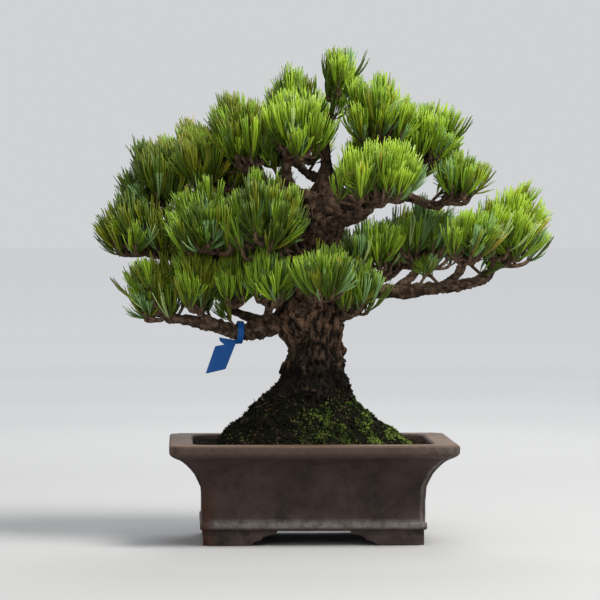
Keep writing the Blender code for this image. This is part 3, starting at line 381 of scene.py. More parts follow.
@dataclass(frozen=True)
class StonewareFinish:
    """Unglazed brown stoneware with iron specks, a paler lip and a mineral bloom near its foot. The paleness of
    the lip and the rim's top is painted light; painted highlights lie on the lip's right end and, mixed with
    wear and bloom, on the right corners and the foot's bead.
    """

    name: str
    body: tuple
    # lip and top are paler colours that paint light on the lip and the rim's flat top
    lip: tuple
    top: tuple
    bloom: tuple
    lip_level: float
    foot_level: float

    def material(self) -> bpy.types.Material:
        """Build the material."""
        shader = Shader(self.name)
        cloudy = shader.between(shader.cloud(17.0, 6.0, 0.65), 0.36, 0.64)
        mottle = shader.between(shader.cloud(2.4, 5.0, 0.75), 0.36, 0.66)
        specks = shader.between(shader.cells(1.6), 0.2, 0.1)
        colour = shader.mix(cloudy, tuple(0.62 * c for c in self.body), tuple(1.45 * c for c in self.body))
        colour = shader.mix(shader.times(mottle, 0.3), colour, tuple(1.9 * c for c in self.body))
        low = shader.height(self.foot_level + 16.0, self.foot_level)
        salt = shader.times(low, shader.between(shader.cloud(8.0, 6.0, 0.7), 0.42, 0.70))
        colour = shader.mix(shader.times(salt, 0.12), colour, self.bloom)
        # a pale band along the top of the foot's bead: partly mineral bloom, partly painted highlight
        ledge_bloom_and_highlight = shader.times(shader.height(self.foot_level + 2.4, self.foot_level - 0.4),
                             shader.height(self.foot_level - 3.4, self.foot_level - 2.2))
        ledge_bloom_and_highlight = shader.times(ledge_bloom_and_highlight, shader.between(shader.cloud(4.0, 5.0, 0.7), 0.24, 0.60))
        colour = shader.mix(shader.times(ledge_bloom_and_highlight, 0.75), colour, self.bloom)
        side = shader.add("ShaderNodeSeparateXYZ", {0: shader.place}).outputs["X"]
        rust = shader.times(shader.between(side, -0.060, -0.0655), shader.height(44.0, 18.0))
        rust = shader.times(rust, shader.between(shader.cloud(6.0), 0.30, 0.50))
        colour = shader.mix(shader.times(rust, 0.8), colour, (0.046, 0.018, 0.010))
        # darker towards the bottom, below the foot's bead, in patches
        bottom_darkening = shader.times(shader.height(9.6, 8.0), shader.between(shader.cloud(11.0), 0.50, 0.66))
        colour = shader.mix(shader.times(bottom_darkening, 0.75), colour, (0.012, 0.008, 0.007))
        # painted light: the lip band drawn paler than the wall, with paler mottled patches
        high = shader.height(self.lip_level - 1.6, self.lip_level + 0.8)
        colour = shader.mix(shader.times(high, 0.85), colour, self.lip)
        colour = shader.mix(shader.times(shader.times(high, mottle), 0.35), colour,
                            tuple(2.0 * c for c in self.lip))
        # painted highlight: pale mottled blotches on the right end of the lip
        lip_highlight_blotches = shader.times(high, shader.between(shader.cloud(5.0, 6.0, 0.75), 0.44, 0.68))
        lip_highlight_blotches = shader.times(lip_highlight_blotches, shader.between(side, 0.035, 0.072))
        colour = shader.mix(shader.times(lip_highlight_blotches, 0.50), colour, self.bloom)
        # a pale line down the right-hand corners below the lip: partly worn edges, partly painted highlight
        worn = shader.times(shader.attribute("worn"), shader.between(shader.cloud(7.0, 5.0, 0.7), 0.28, 0.60))
        worn = shader.times(shader.times(worn, shader.between(side, 0.0, 0.040)), shader.height(49.6, 46.6))
        colour = shader.mix(shader.times(worn, 0.55), colour, self.bloom)
        # painted light: the rim's flat top drawn lighter and warmer where it faces up
        top = shader.height(54.4, 54.9)
        colour = shader.mix(shader.times(top, 0.75), colour, self.top)
        colour = shader.mix(shader.times(specks, 0.35), colour, (0.03, 0.02, 0.017))
        shader.set(base_color=colour, specular_ior_level=0.08)
        shader.set(roughness=shader.between(shader.cloud(12.0), -0.8, 1.5))
        shader.bump(shader.cloud(0.8, 4.0), 0.12, 0.8)
        shader.bump(shader.cloud(6.0, 2.0), 0.4, 0.5)
        return shader.material


@dataclass(frozen=True)
class EarthFinish:
    """Crumbly matter, such as soil, moss or litter: two colours in small clouds."""

    name: str
    dark: tuple
    light: tuple
    grain: float
    roughness: float = 0.95

    def material(self) -> bpy.types.Material:
        """Build the material."""
        shader = Shader(self.name)
        share = shader.between(shader.cloud(self.grain, 4.0, 0.65), 0.38, 0.64)
        shader.set(base_color=shader.mix(share, self.dark, self.light), roughness=self.roughness,
                   specular_ior_level=0.08)
        shader.bump(shader.cloud(0.35 * self.grain, 4.0, 0.7), 0.5)
        return shader.material


@dataclass(frozen=True)
class NeedleFinish:
    """One plain green with a waxy skin."""

    tint: Tint

    def material(self) -> bpy.types.Material:
        """Build the material."""
        shader = Shader("needles_" + self.tint.name.lower())
        shader.set(base_color=(*self.tint.value, 1.0), specular_ior_level=0.25, roughness=0.36)
        return shader.material


@dataclass(frozen=True)
class PlasticFinish:
    """Matt moulded plastic with faint scuffs."""

    name: str
    colour: tuple

    def material(self) -> bpy.types.Material:
        """Build the material."""
        shader = Shader(self.name)
        scuffs = shader.between(shader.cloud(4.0, 6.0, 0.7), 0.55, 0.8)
        worn = tuple(0.85 * c + 0.01 for c in self.colour)
        shader.set(base_color=shader.mix(shader.times(scuffs, 0.5), self.colour, worn),
                   specular_ior_level=0.2)
        shader.set(roughness=shader.between(shader.cloud(2.5), -0.6, 1.6))
        shader.bump(shader.cloud(0.6), 0.05, 0.5)
        return shader.material


OLD_BARK = BarkFinish("old_bark", (0.0150, 0.0095, 0.0065), (0.205, 0.130, 0.082), (0.300, 0.165, 0.098),
                      (0.430, 0.315, 0.225), dark_below=101.0)
BOUGH_BARK = BarkFinish("bough_bark", (0.0300, 0.0185, 0.0118), (0.116, 0.078, 0.052), (0.176, 0.110, 0.071),
                        (0.290, 0.232, 0.178))
TWIG_BARK = EarthFinish("young_bark", (0.044, 0.026, 0.017), (0.180, 0.115, 0.076), 2.2, 0.85)
STONEWARE = StonewareFinish("brown_stoneware", (0.0390, 0.0265, 0.0232), (0.061, 0.042, 0.0335),
                            (0.112, 0.068, 0.041), (0.200, 0.184, 0.170), 48.6, 12.5)
EARTH = EarthFinish("potting_soil", (0.005, 0.0032, 0.0022), (0.027, 0.016, 0.010), 4.0)
MOSS_BED = EarthFinish("moss_bed", (0.0018, 0.0018, 0.0009), (0.008, 0.0075, 0.0038), 5.0)
GREEN_MOSS = EarthFinish("green_moss", (0.005, 0.009, 0.002), (0.105, 0.155, 0.027), 7.0)
# a brighter, yellower copy of the green moss for the mound's right end: partly its own colour, partly painted
# light
BRIGHT_MOSS = EarthFinish("bright_moss", (0.014, 0.025, 0.004), (0.250, 0.310, 0.064), 7.0)
DARK_MOSS = EarthFinish("dark_moss", (0.0015, 0.0023, 0.0008), (0.0125, 0.0165, 0.0050), 6.0)
DULL_MOSS = EarthFinish("dull_moss", (0.0025, 0.0038, 0.0012), (0.017, 0.024, 0.0065), 7.0)
# dark crumbs strewn on the trunk's foot
DARK_CRUMBS = EarthFinish("wet_crumbs", (0.0018, 0.0014, 0.0011), (0.021, 0.0155, 0.0115), 5.0)
CRUMBS = EarthFinish("bark_crumbs", (0.003, 0.0022, 0.0015), (0.060, 0.039, 0.027), 4.0)
LITTER = EarthFinish("dry_litter", (0.060, 0.036, 0.022), (0.240, 0.180, 0.120), 4.0)
STRAW = EarthFinish("dry_straw", (0.040, 0.026, 0.016), (0.120, 0.085, 0.054), 4.0)
BLUE_PLASTIC = PlasticFinish("blue_plastic", (0.003, 0.070, 0.270))


def through(points: tuple | list, share: float) -> np.ndarray:
    """A point on the smooth curve through a list of rows.

    Args:
        points: the rows, all of one length.
        share: the share of the way along them.

    Returns:
        The row at that share.
    """
    spans = len(points) - 1
    place = min(max(share, 0.0), 1.0) * spans
    k = min(int(place), spans - 1)
    t = place - k
    p1 = np.array(points[k], float)
    p2 = np.array(points[k + 1], float)
    p0 = np.array(points[k - 1], float) if k > 0 else 2.0 * p1 - p2
    p3 = np.array(points[k + 2], float) if k + 2 <= spans else 2.0 * p2 - p1
    return 0.5 * (2.0 * p1 + (p2 - p0) * t + (2.0 * p0 - 5.0 * p1 + 4.0 * p2 - p3) * t ** 2
                  + (3.0 * p1 - p0 - 3.0 * p2 + p3) * t ** 3)


def unit(rows: np.ndarray) -> np.ndarray:
    """Rows scaled to length one."""
    return rows / np.maximum(np.linalg.norm(rows, axis=-1, keepdims=True), 1e-9)


def roughness(points: np.ndarray, size: float, octaves: int = 3) -> np.ndarray:
    """Fractal noise at points.

    Args:
        points: rows of points in millimetres.
        size: the size of the largest features.
        octaves: how many finer layers there are.

    Returns:
        A value for each point, mostly from -1 to 1.
    """
    return np.array([noise.fractal(Vector(point / size), 0.9, 2.1, octaves) for point in points])


def plates(points: np.ndarray, size: float, stretch: float) -> tuple[np.ndarray, np.ndarray]:
    """Bark plates with cracks between them.

    Args:
        points: rows of points in millimetres.
        size: the width of a plate.
        stretch: how much taller than wide the plates are.

    Returns:
        For each point its distance into its plate, from 0 in a crack to 1, and the plate's own number.
    """
    depths = np.zeros(len(points))
    numbers = np.zeros(len(points))
    for k, (x, y, z) in enumerate(points / size):
        distances, centres = noise.voronoi(Vector((x, y, z / stretch)))
        depths[k] = min(1.0, (distances[1] - distances[0]) * 2.6)
        numbers[k] = noise.cell(centres[0] * 7.3)
    return depths, numbers


def waisted(points: np.ndarray) -> np.ndarray:
    """The trunk's foot and the mound drawn in, since the roots spread low.

    Args:
        points: rows of points in millimetres.

    Returns:
        The points in their new places.
    """
    away = np.maximum(np.hypot(points[:, 0], points[:, 1]), 1.0)
    right = (0.5 + 0.5 * points[:, 0] / away) ** 2
    amount = np.interp(points[:, 2], WAIST[:, 0], WAIST[:, 1]) * right
    amount += np.interp(points[:, 2], WAIST[:, 0], WAIST[:, 2]) * (1.0 - right)
    return points * np.stack([1.0 - amount / away, 1.0 - amount / away, np.ones(len(points))], axis=1)


def frames_along(path: np.ndarray) -> tuple[np.ndarray, np.ndarray]:
    """Directions square to a path that turn as little as they can.

    Args:
        path: the path's points.

    Returns:
        Two rows of unit vectors for every point.
    """
    along = unit(np.gradient(path, axis=0))
    side = np.array((0.0, 0.0, 1.0)) if abs(along[0][2]) < 0.8 else np.array((1.0, 0.0, 0.0))
    across = np.zeros_like(path)
    for k, heading in enumerate(along):
        side = side - heading * side.dot(heading)
        side = side / max(np.linalg.norm(side), 1e-9)
        across[k] = side
    return across, np.cross(along, across)


def ring_faces(rings: int, sides: int) -> np.ndarray:
    """Quads between rings of points that follow each other."""
    i = np.arange(sides)
    j = (i + 1) % sides
    row = np.stack([i, j, j + sides, i + sides], axis=1)
    return (row[None] + np.arange(rings - 1)[:, None, None] * sides).reshape(-1, 4)


def cap_faces(centre: int, ring: int, sides: int, up: bool) -> np.ndarray:
    """A fan of triangles from a centre point to a ring."""
    i = np.arange(sides)
    j = (i + 1) % sides
    pair = (i, j) if up else (j, i)
    return np.stack([np.full(sides, centre), ring + pair[0], ring + pair[1]], axis=1)


def tube(path: np.ndarray, radii: np.ndarray, sides: int) -> np.ndarray:
    """Points of rings round a path, ring after ring."""
    across, up = frames_along(path)
    angles = np.arange(sides) * math.tau / sides
    circle = across[:, None] * np.cos(angles)[None, :, None] + up[:, None] * np.sin(angles)[None, :, None]
    return (path[:, None] + circle * radii[:, None, None]).reshape(-1, 3)


def add_tube(pile: MeshPile, path: np.ndarray, points: np.ndarray, sides: int,
             relief: np.ndarray | None = None) -> None:
    """Add a closed tube to a pile.

    Args:
        pile: where it goes.
        path: the points of its axis.
        points: the points of its rings.
        sides: how many points a ring has.
        relief: how far each ring's points stand out.
    """
    rings = len(path)
    ends = np.array([path[0], path[-1]])
    if relief is not None:
        relief = np.concatenate([relief, [0.5, 0.5]])
    pile.add(np.concatenate([points, ends]), ring_faces(rings, sides),
             cap_faces(rings * sides, 0, sides, False),
             cap_faces(rings * sides + 1, (rings - 1) * sides, sides, True), relief=relief)


@dataclass(frozen=True)
class Bough:
    """One limb: where it leaves its parent, the points it bends through and its radii.

    The place on the trunk is a height. On another bough it is a share of that bough's length.
    """

    name: str
    parent: str
    place: float
    bends: tuple
    root: float
    tip: float


@dataclass(frozen=True)
class Pad:
    """One mass of needles: a dome over its underside, the limb that carries it and its colouring."""

    name: str
    limb: str
    x: float
    y: float
    base: float
    half_x: float
    half_y: float
    height: float
    tone: Tone

    @property
    def underside(self) -> np.ndarray:
        """Middle of the dome's flat underside."""
        return np.array((self.x, self.y, self.base))


TRUNK_STATIONS = (
    (52.35, -1.5, 2.0, 37.0), (66.0, -0.4, 2.0, 32.0), (77.0, -0.2, 1.5, 27.0), (88.0, 1.2, 1.0, 21.8),
    (99.0, 2.2, 0.5, 18.2), (108.0, 2.8, 0.0, 16.2), (120.0, 0.8, 0.0, 16.6), (133.0, -0.4, 0.0, 17.2),
    (150.0, 0.0, 0.5, 16.2), (166.0, 0.8, 1.0, 15.2), (180.0, 4.0, 2.0, 11.2), (192.0, 8.6, 4.0, 6.8),
    (206.0, 8.8, 4.5, 4.7), (222.0, 8.6, 3.0, 3.6), (232.0, 10.4, 1.4, 2.8), (240.0, 12.6, 0.6, 2.3),
)

BURLS = (
    (18.0, -5.0, 105.0, 5.0, 1.6), (-14.0, -11.0, 111.0, 6.0, 1.4), (7.0, -15.0, 117.0, 6.0, 2.0),
    (-18.0, -3.0, 96.0, 6.0, 0.8), (13.0, 11.0, 110.0, 7.0, 2.5), (-6.0, 14.0, 103.0, 8.0, 2.2),
    (24.0, -8.0, 84.0, 6.0, 2.0), (-24.0, -12.0, 82.0, 8.0, 2.4), (4.0, -24.0, 84.0, 7.0, 2.0),
)

KNEES = {"bough_left_low": (0.30, 0.38), "bough_left_mid": (0.34, 0.2), "bough_right_low": (0.46, 0.2)}

BOUGHS = (
    Bough("bough_left_low", "trunk", 124.0,
          ((-26.0, -8.0, 117.8), (-38.7, -12.0, 114.6), (-59.2, -14.0, 119.5)), 6.4, 2.3),
    Bough("bough_left_low_mid", "bough_left_low", 0.62, ((-60.0, -17.5, 124.0),), 2.1, 1.7),
    Bough("bough_left_low_inner", "bough_left_low", 0.30,
          ((-40.0, -5.0, 125.0), (-48.0, -11.0, 128.5)), 2.5, 1.7),
    Bough("bough_front_left", "bough_left_low", 0.20, ((-24.0, -18.0, 123.0),), 2.6, 1.8),
    Bough("bough_front", "trunk", 124.0, ((-6.5, -18.0, 125.6), (-1.0, -28.0, 131.5)), 4.4, 2.3),
    Bough("bough_right_lowest", "trunk", 120.0, ((16.5, -10.0, 121.5),), 2.8, 1.8),
    Bough("bough_left_mid", "trunk", 163.0,
          ((-24.4, 2.0, 165.6), (-36.0, 3.0, 160.0), (-60.0, 2.0, 155.5), (-77.6, 1.0, 156.5)), 5.8, 2.4),
    Bough("bough_left_far", "bough_left_mid", 0.52, ((-62.0, 9.0, 164.0), (-76.0, 10.0, 176.0)), 2.8, 2.0),
    Bough("bough_left_front", "bough_left_mid", 0.36, ((-44.0, -8.0, 155.0),), 2.8, 2.0),
    Bough("bough_left_high", "trunk", 178.0, ((-18.0, 7.0, 184.0), (-38.0, 5.0, 189.0)), 4.4, 2.2),
    Bough("bough_crown_left", "trunk", 186.0,
          ((-4.6, -6.0, 189.5), (-15.1, -8.0, 195.6), (-25.0, -9.0, 196.6)), 4.0, 2.0),
    Bough("bough_crown_front", "bough_crown_left", 0.44, ((-13.5, -12.0, 203.5),), 2.5, 1.8),
    Bough("bough_crown_back", "trunk", 197.0, ((3.0, 15.0, 200.0), (-3.0, 27.0, 204.0)), 3.2, 2.0),
    Bough("bough_right_high", "trunk", 182.0,
          ((15.0, 2.0, 187.0), (33.0, 1.0, 189.5), (50.0, 3.0, 195.0)), 6.6, 2.6),
    Bough("bough_crown_right", "bough_right_high", 0.46, ((33.0, -3.0, 204.0),), 2.8, 2.0),
    Bough("bough_right_out", "bough_right_high", 0.62, ((58.0, -5.0, 187.0), (70.0, -7.0, 184.0)), 2.8, 2.0),
    Bough("bough_right_front", "trunk", 172.0, ((13.5, -12.0, 174.5), (29.0, -23.0, 181.0)), 5.2, 2.4),
    Bough("bough_right_low", "trunk", 135.0,
          ((22.7, 0.0, 136.8), (38.0, -1.0, 136.5), (60.0, -2.0, 137.4), (82.0, -2.0, 140.2),
           (97.0, -2.0, 144.6)), 4.8, 2.3),
    Bough("bough_right_low_front", "bough_right_low", 0.66, ((80.0, -13.0, 146.0),), 2.5, 1.8),
    Bough("bough_right_low_mid", "bough_right_low", 0.42, ((58.0, 6.0, 147.0),), 2.5, 1.8),
    Bough("bough_back_left_high", "trunk", 172.0, ((-15.0, 17.0, 174.0), (-34.0, 31.0, 182.0)), 4.4, 2.4),
    Bough("bough_back_left_low", "trunk", 150.0, ((-18.0, 16.0, 147.0), (-36.0, 34.0, 145.0)), 4.4, 2.4),
    Bough("bough_back_low", "trunk", 143.0, ((-1.0, 22.0, 142.0), (-3.0, 42.0, 145.0)), 4.4, 2.4),
    Bough("bough_back_right_high", "trunk", 177.0, ((17.0, 17.0, 182.0), (33.0, 31.0, 189.0)), 4.4, 2.4),
    Bough("bough_back_right_low", "trunk", 148.0, ((18.0, 16.0, 144.0), (42.0, 34.0, 144.0)), 4.4, 2.4),
)

WAIST = np.array(((54.0, 0.0, 0.0), (57.0, 2.5, 0.6), (61.0, 4.2, 1.0), (66.0, 6.2, 1.4), (71.0, 7.2, 1.8),
                  (77.0, 6.4, 2.2), (83.0, 4.5, 2.8), (90.0, 2.4, 3.4), (97.0, 1.4, 3.2), (104.0, 1.8, 1.6),
                  (110.0, 1.6, 0.0), (118.0, 0.0, 0.0)))

PADS = (
    Pad("needles_apex", "trunk_tip", 15.0, 0.0, 243.0, 13.0, 13.0, 32.5, Tone.SUNLIT),
    Pad("needles_crown_rear", "trunk", -8.0, 16.0, 228.0, 17.0, 16.0, 34.0, Tone.LEAFY),
    Pad("needles_crown_back", "bough_crown_back", -8.0, 46.0, 208.0, 28.0, 25.0, 43.0, Tone.LEAFY),
    Pad("needles_crown_left", "bough_crown_left", -40.0, -8.0, 208.0, 21.0, 22.0, 38.0, Tone.MELLOW),
    Pad("needles_crown_front", "bough_crown_front", -10.0, -18.0, 210.0, 20.0, 20.0, 39.0, Tone.SUNLIT),
    Pad("needles_crown_right", "bough_crown_right", 37.5, -4.0, 220.0, 23.0, 22.0, 37.0, Tone.SUNLIT),
    Pad("needles_right_front", "bough_right_front", 36.0, -40.0, 187.0, 26.0, 22.0, 33.0, Tone.SUNLIT),
    Pad("needles_right_high", "bough_right_high", 68.0, 4.0, 209.0, 19.0, 22.0, 35.0, Tone.SUNLIT),
    Pad("needles_right_out", "bough_right_out", 84.0, -8.0, 190.0, 17.0, 20.0, 27.0, Tone.LEAFY),
    Pad("needles_right_low_tip", "bough_right_low", 112.0, -2.0, 154.0, 22.0, 24.0, 43.0, Tone.SUNLIT),
    Pad("needles_right_low_front", "bough_right_low_front", 89.0, -30.0, 156.0, 19.0, 18.0, 26.0, Tone.LEAFY),
    Pad("needles_right_low_mid", "bough_right_low_mid", 66.0, 13.0, 159.0, 21.0, 20.0, 29.0, Tone.COOL),
    Pad("needles_right_inner", "trunk", 36.0, 10.0, 151.0, 19.0, 19.0, 28.0, Tone.COOL),
    Pad("needles_left_far_low", "bough_left_mid", -99.0, 0.0, 158.0, 21.0, 24.0, 34.0, Tone.DUSKY),
    Pad("needles_left_far_high", "bough_left_far", -89.0, 10.0, 183.0, 18.0, 22.0, 38.0, Tone.DUSKY),
    Pad("needles_left_high", "bough_left_high", -60.0, 2.0, 194.0, 23.0, 23.0, 36.0, Tone.GOLDEN),
    Pad("needles_left_front", "bough_left_front", -60.0, -22.0, 159.0, 22.0, 22.0, 39.0, Tone.MIXED),
    Pad("needles_front_high", "trunk", -27.0, -34.0, 160.0, 25.0, 22.0, 41.0, Tone.DIM),
    Pad("needles_left_low_tip", "bough_left_low", -90.0, -12.0, 122.0, 16.0, 19.0, 39.0, Tone.GOLDEN),
    Pad("needles_left_low_mid", "bough_left_low_mid", -67.0, -19.0, 128.0, 16.0, 19.0, 38.0, Tone.MELLOW),
    Pad("needles_left_low_inner", "bough_left_low_inner", -44.6, -19.0, 132.0, 16.5, 18.0, 28.0, Tone.MIXED),
    Pad("needles_front_left", "bough_front_left", -21.5, -31.0, 133.0, 16.5, 19.0, 29.0, Tone.LEAFY),
    Pad("needles_front", "bough_front", 4.0, -44.0, 134.0, 20.0, 20.0, 30.0, Tone.MIXED),
    Pad("needles_right_lowest", "bough_right_lowest", 26.5, -18.0, 126.0, 15.0, 17.0, 28.0, Tone.MIXED),
    Pad("needles_back_left_high", "bough_back_left_high", -60.0, 46.0, 190.0, 29.0, 26.0, 42.0, Tone.GOLDEN),
    Pad("needles_back_left_low", "bough_back_left_low", -54.0, 54.0, 150.0, 30.0, 27.0, 40.0, Tone.SHADED),
    Pad("needles_back_low", "bough_back_low", -2.0, 64.0, 150.0, 28.0, 24.0, 46.0, Tone.SHADED),
    Pad("needles_back_right_high", "bough_back_right_high", 50.0, 46.0, 196.0, 28.0, 26.0, 44.0, Tone.LEAFY),
    Pad("needles_back_right_low", "bough_back_right_low", 64.0, 50.0, 150.0, 29.0, 26.0, 36.0, Tone.SHADED),
)


@dataclass
class Limb:
    """The fine path of the trunk or a bough, with its radius at each point."""

    path: np.ndarray
    radii: np.ndarray

    def at(self, share: float) -> tuple[np.ndarray, float]:
        """Point and radius at a share of the limb's length."""
        steps = np.linalg.norm(np.diff(self.path, axis=0), axis=1)
        lengths = np.concatenate([[0.0], np.cumsum(steps)])
        where = share * lengths[-1]
        point = np.array([np.interp(where, lengths, self.path[:, axis]) for axis in range(3)])
        return point, float(np.interp(where, lengths, self.radii))


@dataclass
class Pot:
    """The pot: the frame's own solid with worn edges and a lip that rolls over into the hollow wall.

    Both sections give the outer wall's height and how far it lies inside the lip's edge.
    """

    edge: float = 0.55
    edge_steps: int = 3
    flat_angle: float = 1.0
    sharp_angle: float = 25.0
    plain: tuple = ((31.69, 16.84), (38.64, 14.92), (44.14, 11.94), (47.68, 8.17), (48.9, 4.0), (49.0, 0.9),
                    (49.8, 0.0), (54.1, 0.0))
    rolled: tuple = ((31.69, 16.4), (35.0, 15.4), (38.64, 13.7), (41.5, 11.6), (44.14, 9.1), (45.6, 7.5),
                     (46.6, 6.1), (47.2, 5.0), (47.68, 3.9), (48.3, 2.6), (48.9, 1.6), (49.8, 0.6), (50.7, 0.1),
                     (54.1, 0.0))
    corner: float = 1.6
    corner_angle: float = 18.0
    rim_parts: tuple = (54.0, 34.0)

    def build(self, frame: dict) -> None:
        """Make the pot.

        Args:
            frame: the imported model.
        """
        bm = bmesh.new()
        bm.from_mesh(frame["nodes"]["pot"].data)
        worn = bm.verts.layers.float.new("worn")
        bmesh.ops.remove_doubles(bm, verts=bm.verts, dist=0.01 * MM)
        bmesh.ops.dissolve_limit(bm, angle_limit=math.radians(self.flat_angle), verts=bm.verts,
                                 edges=bm.edges)
        self.roll_lip(bm)
        self.part_rim(bm)
        corners = [edge for edge in bm.edges if edge.is_manifold and self.rises(edge)
                   and edge.calc_face_angle(0.0) > math.radians(self.corner_angle)]
        rounded = set(bmesh.ops.bevel(bm, geom=corners, offset=self.corner * MM, segments=self.edge_steps,
                                      profile=0.5, affect="EDGES", clamp_overlap=True)["faces"])
        # the rounded corners get worn = 1, which the finish draws pale: partly wear, partly painted highlight
        for edge in {edge for face in rounded for edge in face.edges}:
            if self.rises(edge) and rounded.issuperset(edge.link_faces):
                for vert in edge.verts:
                    vert[worn] = 1.0
        sharp = [edge for edge in bm.edges
                 if edge.is_manifold and edge.calc_face_angle(0.0) > math.radians(self.sharp_angle)]
        bmesh.ops.bevel(bm, geom=sharp, offset=self.edge * MM, segments=self.edge_steps, profile=0.5,
                        affect="EDGES", clamp_overlap=True)
        bmesh.ops.dissolve_degenerate(bm, dist=0.002 * MM, edges=bm.edges)
        bmesh.ops.recalc_face_normals(bm, faces=bm.faces)
        mesh = bpy.data.meshes.new("pot_walls")
        bm.to_mesh(mesh)
        bm.free()
        show(mesh, "pot_walls", STONEWARE.material(), 32.0, ("pot",))

    def roll_lip(self, bm: bmesh.types.BMesh) -> None:
        """Cut more rings into the outer wall and move all of them on to the rolled section.

        Args:
            bm: the pot's mesh in metres.
        """
        present = {height for height, _ in self.plain}
        for height, _ in self.rolled:
            if height not in present:
                bmesh.ops.bisect_plane(bm, geom=[*bm.verts, *bm.edges, *bm.faces], dist=0.001 * MM,
                                       plane_co=(0.0, 0.0, height * MM), plane_no=(0.0, 0.0, 1.0))
        bm.normal_update()
        places = np.array([vert.co[:] for vert in bm.verts])
        middle = 0.5 * (places.min(axis=0) + places.max(axis=0))
        plain, rolled = np.array(self.plain), np.array(self.rolled)
        for vert in bm.verts:
            height = vert.co.z / MM
            sides = np.sign(np.array(vert.co[:2]) - middle[:2])
            outer = vert.normal.x * sides[0] + vert.normal.y * sides[1] > 0.04
            if outer and plain[0, 0] + 0.1 < height < plain[-1, 0] - 0.01:
                out = np.interp(height, *plain.T) - np.interp(height, *rolled.T)
                vert.co.x += sides[0] * out * MM
                vert.co.y += sides[1] * out * MM

    def part_rim(self, bm: bmesh.types.BMesh) -> None:
        """Part the rim's flat top, which is one face round the opening, into corners and sides.

        Args:
            bm: the pot's mesh in metres.
        """
        places = np.array([vert.co[:] for vert in bm.verts])
        middle = 0.5 * (places.min(axis=0) + places.max(axis=0))
        for axis, half in enumerate(self.rim_parts):
            for side in (-half, half):
                level = [face for face in bm.faces
                         if face.normal.z > 0.99 and face.verts[0].co.z > places[:, 2].max() - 0.1 * MM]
                geometry = dict.fromkeys(part for face in level for part in (face, *face.edges, *face.verts))
                plane = middle + np.eye(3)[axis] * side * MM
                bmesh.ops.bisect_plane(bm, geom=list(geometry), dist=0.001 * MM, plane_co=plane,
                                       plane_no=np.eye(3)[axis])
                bm.normal_update()

    @staticmethod
    def rises(edge: bmesh.types.BMEdge) -> bool:
        """Whether an edge runs up a corner of the wall."""
        low, high = sorted(vert.co.z for vert in edge.verts)
        return high - low > 0.5 * MM and low > 12.0 * MM


